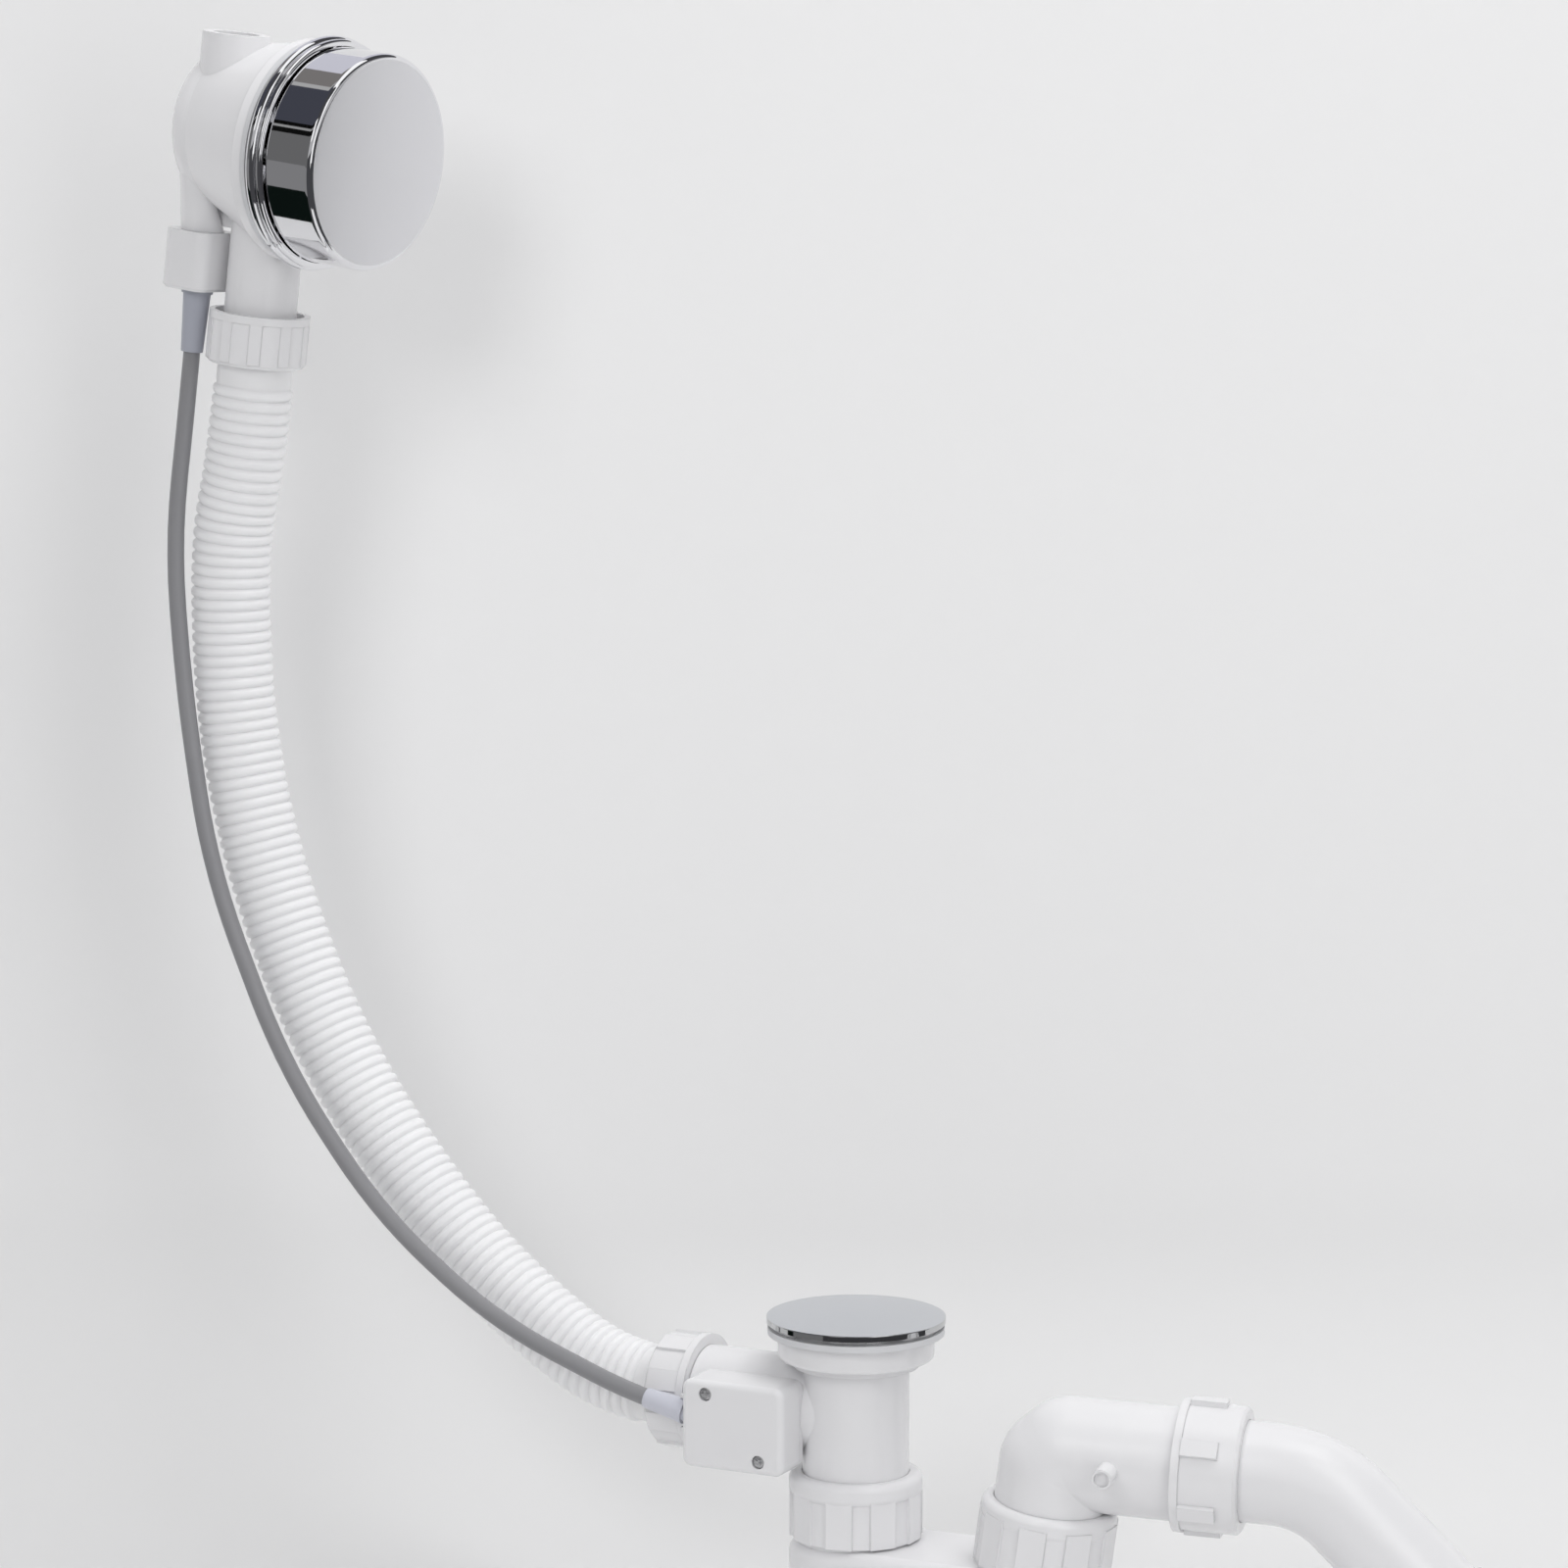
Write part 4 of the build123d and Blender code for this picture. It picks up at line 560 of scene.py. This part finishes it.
# Rosette, spindle and knob: the chromed parts inside the bath, on the overflow's axis.
# The rosette is screwed through the wall to the head; the knob is pressed on its spindle and turns.
# The knob and the rosette's rim are turned finely here, because facets would show in the mirror finish.
knob_joint = next(joint for joint in frame["joints"] if joint["name"] == "knob_turn")
head_place = (-0.264, 0, 0.470)
knob_out = Vector(knob_joint["axis"])
knob_out *= 1 if knob_out.x > 0 else -1
knob_r = 0.0442
knob_bevel = 0.0025
knob_face = 0.0543
knob_rear = 0.0311
knob_wall = 0.0024
hub_r = 0.009
hub_rear = 0.0379
spindle_end = 0.0492
spindle_hole_r = 0.00505
knob_dome = 0.001
knob_face_blend = 0.00005
knob_lip = 0.0006
knob_loop = 0.0002
knob_profile = crown(knob_face, knob_r - knob_bevel, knob_dome, rings=10)
knob_profile += rounded((knob_face, knob_r - knob_bevel), (knob_face - knob_bevel, knob_r),
                        (knob_face - knob_bevel, knob_r - knob_bevel), steps=10)[1:]
knob_profile += [(knob_face - knob_bevel - knob_loop, knob_r), (knob_rear + knob_lip + knob_loop, knob_r),
                 (knob_rear + knob_lip, knob_r), (knob_rear + knob_loop, knob_r - knob_loop),
                 (knob_rear, knob_r - knob_lip), (knob_rear, knob_r - knob_wall),
                 (knob_face - knob_wall, knob_r - knob_wall),
                 (knob_face - knob_wall, hub_r), (hub_rear, hub_r), (hub_rear, spindle_hole_r),
                 (spindle_end, spindle_hole_r), (spindle_end, 0)]
knob_cap = lathe("knob_cap", knob_profile, steps=192, place=head_place, axis=knob_out)
bright_plate = (0.84, 0.84, 0.86)
knob_chrome = plated("knob_chrome", bright_plate, (0.86, 0.86, 0.885), satin_rough=0.34,
                     face_from=knob_face - knob_face_blend, face_to=knob_face,
                     origin=head_place, axis=knob_out)
knob_cap.data.materials.append(knob_chrome)
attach(knob_cap, "knob")
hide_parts("knob")
bright_chrome = turned_metal("bright_chrome", bright_plate, smoothest=0.03, roughest=0.05,
                             ring_depth=0.0000005, origin=head_place, axis=knob_out)
dress(bright_chrome, "overflow_rosette")


def roll(start, end, foot_r, top_r, steps):
    """Rounded ring of a profile that rises from its foot to its top between two places along the axis."""
    half = (end - start) / 2
    rise = top_r - foot_r
    bend_r = (half ** 2 + rise ** 2) / (2 * rise)
    reach = atan2(half, bend_r - rise)
    return [(start + half + bend_r * sin(reach * (2 * i / steps - 1)),
             top_r - bend_r + bend_r * cos(reach * (2 * i / steps - 1))) for i in range(steps + 1)]


plating = 0.00003
rim_back, rim_groove, rim_front = 0.0230, 0.0276, 0.0304
rim_bore_back, rim_bore_front = 0.0234, 0.0300
rim_inner_r = 0.0446
rim_back_r = 0.0452
rim_front_r = 0.0456
groove_foot_r = 0.0458 + plating
roll_top_r = 0.0480 + plating
bead_top_r = 0.0470 + plating
rim_profile = roll(rim_back, rim_groove, groove_foot_r, roll_top_r, steps=16)
rim_profile += roll(rim_groove, rim_front, groove_foot_r, bead_top_r, steps=12)[1:]
rim_profile += [(rim_front + plating, rim_front_r), (rim_front + plating, rim_inner_r),
                (rim_bore_front, rim_inner_r), (rim_bore_back, rim_inner_r),
                (rim_back, rim_back_r), (rim_back, groove_foot_r)]
rosette_rim = lathe("rosette_rim", rim_profile, steps=192, place=head_place, axis=knob_out)
rosette_rim.data.materials.append(bright_chrome)
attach(rosette_rim, "drain")
dress(turned_steel, "knob_spindle", "spindle_clip", "rosette_screws")

# Control cable: a steel core in a grey sheath, with a lilac-grey sleeve at each end.
# The sheath is held in the head's clip and in the mechanism box, and the core slides in it.
cable_sheath = moulding("cable_sheath_grey", (0.25, 0.25, 0.262), (0.28, 0.28, 0.29),
                        smoothest=0.34, roughest=0.46, peel_depth=0.00004, edge_round=0)
sleeve_lilac = moulding("sleeve_lilac", (0.43, 0.445, 0.505), (0.4, 0.415, 0.475),
                        smoothest=0.35, roughest=0.45, peel_depth=0.00004, edge_round=0.0004)
sleeve_pale = moulding("sleeve_pale", (0.62, 0.63, 0.7), (0.58, 0.59, 0.66),
                       smoothest=0.3, roughest=0.4, peel_depth=0.00004, edge_round=0.0004)
dress(cable_sheath, "cable_sheath")
dress(sleeve_lilac, "upper_ferrule")
dress(sleeve_pale, "lower_ferrule")
dress(turned_steel, "cable_core_upper", "cable_core_lower")

# Studio: a pale seamless sheet of paper swept up behind the object, on a wide pale floor, with painted shade
# that darkens it low down and on the floor.
# The floor round the sheet is kept out of the chrome, which mirrors the sheet and a dark room.
azimuth = radians(26)
elevation = radians(8)
away = Vector((-sin(azimuth), cos(azimuth), 0))
across = Vector((cos(azimuth), sin(azimuth), 0))
floor_gap = 0.0005
floor_z = cad_box[0].z - floor_gap
wall_at = 0.21
cove = 0.13
paper = bpy.data.materials.new("pale_paper")
paper.use_nodes = True
tree = paper.node_tree
paper_shader = tree.nodes["Principled BSDF"]
paper_place = tree.nodes.new("ShaderNodeTexCoord")
paper_parts = tree.nodes.new("ShaderNodeSeparateXYZ")
# The paper's colour falls from 0.9 above to 0.8 at the floor: painted shade low on the sheet and on the
# floor.
paper_painted_shade = tree.nodes.new("ShaderNodeMapRange")
for socket, value in (("From Min", -0.13), ("From Max", 0.02), ("To Min", 0.8), ("To Max", 0.9)):
    paper_painted_shade.inputs[socket].default_value = value
tree.links.new(paper_place.outputs["Object"], paper_parts.inputs["Vector"])
tree.links.new(paper_parts.outputs["Z"], paper_painted_shade.inputs["Value"])
tree.links.new(paper_painted_shade.outputs["Result"], paper_shader.inputs["Base Color"])
paper_shader.inputs["Roughness"].default_value = 0.9
paper_shader.inputs["Specular IOR Level"].default_value = 0.0
from_behind = tree.nodes.new("ShaderNodeNewGeometry")
see_through = tree.nodes.new("ShaderNodeBsdfTransparent")
one_sided = tree.nodes.new("ShaderNodeMixShader")
tree.links.new(from_behind.outputs["Backfacing"], one_sided.inputs["Fac"])
tree.links.new(paper_shader.outputs["BSDF"], one_sided.inputs[1])
tree.links.new(see_through.outputs["BSDF"], one_sided.inputs[2])
tree.links.new(one_sided.outputs["Shader"], tree.nodes["Material Output"].inputs["Surface"])


def sheet_of_paper(name, left, right, line):
    """Paper between two sides along a line of (depth, height) points."""
    points = [away * depth + across * side + Vector((0, 0, height)) for depth, height in line
              for side in (left, right)]
    faces = [(2 * i, 2 * i + 1, 2 * i + 3, 2 * i + 2) for i in range(len(line) - 1)]
    mesh = bpy.data.meshes.new(name)
    mesh.from_pydata(points, [], faces)
    sheet = bpy.data.objects.new(name, mesh)
    bpy.context.collection.objects.link(sheet)
    bpy.ops.object.select_all(action="DESELECT")
    sheet.select_set(True)
    bpy.context.view_layer.objects.active = sheet
    bpy.ops.object.shade_smooth()
    sheet.data.materials.append(paper)
    return sheet


paper_left, paper_right, paper_front, paper_top = -0.75, 0.8, 0.07, 0.6
tongue, tongue_front = 0.26, -0.48
wide, tall = 4.0, 3.0
cove_line = [(wall_at - cove + cove * sin(radians(turn)), floor_z + cove - cove * cos(radians(turn)))
             for turn in range(0, 91, 5)]
sheet_of_paper("paper_sweep", paper_left, paper_right,
               [(paper_front, floor_z), *cove_line, (wall_at, paper_top)])
sheet_of_paper("paper_tongue", -tongue, tongue, [(tongue_front, floor_z), (paper_front, floor_z)])
for name, left, right, line in (
        ("paper_left", -wide, paper_left, [(-wide, floor_z), *cove_line, (wall_at, tall)]),
        ("paper_right", paper_right, wide, [(-wide, floor_z), *cove_line, (wall_at, tall)]),
        ("paper_front", -tongue, tongue, [(-wide, floor_z), (tongue_front, floor_z)]),
        ("paper_front_left", paper_left, -tongue, [(-wide, floor_z), (paper_front, floor_z)]),
        ("paper_front_right", tongue, paper_right, [(-wide, floor_z), (paper_front, floor_z)]),
        ("paper_top", paper_left, paper_right, [(wall_at, paper_top), (wall_at, tall)])):
    sheet_of_paper(name, left, right, line).visible_glossy = False

# Dark room: what the chrome mirrors beyond the paper. It is a dark surround with grey and black panels on
# the left that run along the knob's axis, a pale lilac ceiling, a pale band low round the room and a white
# card on the right. Only mirrored rays see them.


def mirrored_only(room, colour):
    """A surround that only mirrored rays see."""
    glow = bpy.data.materials.new(room.name)
    glow.use_nodes = True
    glow.node_tree.nodes.clear()
    lit = glow.node_tree.nodes.new("ShaderNodeEmission")
    lit.inputs["Color"].default_value = (*colour, 1)
    leave = glow.node_tree.nodes.new("ShaderNodeOutputMaterial")
    glow.node_tree.links.new(lit.outputs["Emission"], leave.inputs["Surface"])
    room.data.materials.append(glow)
    room.visible_camera = False
    room.visible_diffuse = False
    room.visible_shadow = False
    room.visible_transmission = False
    room.visible_volume_scatter = False


bpy.ops.mesh.primitive_uv_sphere_add(segments=24, ring_count=12, radius=9.0)
dark_room = bpy.context.object
dark_room.name = "dark_room"
mirrored_only(dark_room, (0.06, 0.06, 0.065))
bpy.ops.mesh.primitive_cylinder_add(vertices=48, radius=8.0, depth=3.2, end_fill_type="NOTHING",
                                    location=(0, 0, 2.1))
pale_band = bpy.context.object
pale_band.name = "pale_band"
mirrored_only(pale_band, (0.45, 0.45, 0.46))
knob_place = Vector(knob_joint["pos_m"])
knob_front = (Vector((0, -1, 0)) + knob_out * knob_out.y).normalized()
knob_rise = knob_front.cross(knob_out)
panel_out, panel_left, panel_right = 4.0, -7.0, -0.2
panel_step = 8
for name, start, end, colour in (("ceiling_lilac", 101, 150, (0.62, 0.62, 0.69)),
                                 ("panel_brown", 80, 101, (0.2, 0.19, 0.185)),
                                 ("panel_pale_line", 75, 80, (0.42, 0.42, 0.42)),
                                 ("panel_navy", 33, 75, (0.055, 0.058, 0.075)),
                                 ("panel_black_line", 29, 33, (0.004, 0.004, 0.004)),
                                 ("panel_thin_line", 26.5, 29, (0.3, 0.3, 0.3)),
                                 ("panel_edge", 21, 26.5, (0.005, 0.005, 0.005)),
                                 ("panel_grey", -10, 21, (0.14, 0.14, 0.142)),
                                 ("panel_mid_grey", -37, -10, (0.22, 0.22, 0.225)),
                                 ("panel_black", -88, -37, (0.004, 0.007, 0.006))):
    parts = max(1, round((end - start) / panel_step))
    points = []
    for i in range(parts + 1):
        turn = radians(start + (end - start) * i / parts)
        rim = knob_place + panel_out * (cos(turn) * knob_front + sin(turn) * knob_rise)
        points += [rim + knob_out * panel_left, rim + knob_out * panel_right]
    mesh = bpy.data.meshes.new(name)
    mesh.from_pydata(points, [], [(2 * i, 2 * i + 1, 2 * i + 3, 2 * i + 2) for i in range(parts)])
    panel = bpy.data.objects.new(name, mesh)
    bpy.context.collection.objects.link(panel)
    mirrored_only(panel, colour)

card_top = Vector((0.76, -0.1, 0.64))
card_foot = Vector((0.72, -0.64, -0.2))
card_half_width, card_out = 0.11, 3.0
card_side = (card_top - card_foot).cross(card_top + card_foot).normalized() * card_half_width
card_points = [knob_place + card_out * (end + side)
               for end in (card_top, card_foot) for side in (-card_side, card_side)]
mesh = bpy.data.meshes.new("white_card")
mesh.from_pydata(card_points, [], [(0, 1, 3, 2)])
white_card = bpy.data.objects.new("white_card", mesh)
bpy.context.collection.objects.link(white_card)
card_white = (1.1, 1.1, 1.1)
mirrored_only(white_card, card_white)

# Soft studio light: an even pale surround, a wide light overhead, a soft key from the upper left and
# a tall strip on the right. The chrome mirrors a white card in the place of each lamp, for even white lines.
world = bpy.data.worlds.new("pale_surround")
world.use_nodes = True
world.node_tree.nodes["Background"].inputs["Color"].default_value = (0.985, 0.985, 1.0, 1)
world.node_tree.nodes["Background"].inputs["Strength"].default_value = 0.43
bpy.context.scene.world = world
middle = Vector((-0.1, 0, 0.2))
for name, place, width, height, energy in (
        ("key", -across * 0.9 - away * 2.0 + Vector((0, 0, 1.3)), 0.9, 0.9, 11.0),
        ("overhead", Vector((0.5, 0.1, 1.7)), 1.2, 1.2, 17.2),
        ("strip", Vector((1.25, -0.72, 0.6)), 0.5, 1.5, 3.75)):
    lamp = bpy.data.lights.new(name, "AREA")
    lamp.shape = "RECTANGLE"
    lamp.size = width
    lamp.size_y = height
    lamp.energy = energy
    stand = bpy.data.objects.new(name, lamp)
    stand.location = middle + place
    stand.rotation_euler = place.to_track_quat("Z", "Y").to_euler()
    bpy.context.collection.objects.link(stand)
    stand.visible_glossy = False
    bpy.ops.mesh.primitive_plane_add(size=1, location=stand.location, rotation=stand.rotation_euler)
    card = bpy.context.object
    card.name = name + "_card"
    card.scale = (width, height, 1)
    bpy.ops.object.transform_apply(location=True, rotation=True, scale=True)
    mirrored_only(card, card_white)

# Camera: the photograph's view, from the front right and a little above.
# It is set off sideways and upwards so that the object lies in the frame as it does there.
back = Vector((sin(azimuth) * cos(elevation), -cos(azimuth) * cos(elevation), sin(elevation)))
up = back.cross(across)
lens = bpy.data.cameras.new("camera")
lens.sensor_width = 36.0
lens.lens = 123.75
camera = bpy.data.objects.new("camera", lens)
camera_distance, camera_side, camera_height = 2.16, -0.0289, 0.2197
camera.location = back * camera_distance + across * camera_side + up * camera_height
camera.rotation_euler = back.to_track_quat("Z", "Y").to_euler()
bpy.context.collection.objects.link(camera)
bpy.context.scene.camera = camera
bpy.context.scene.view_settings.view_transform = "Standard"
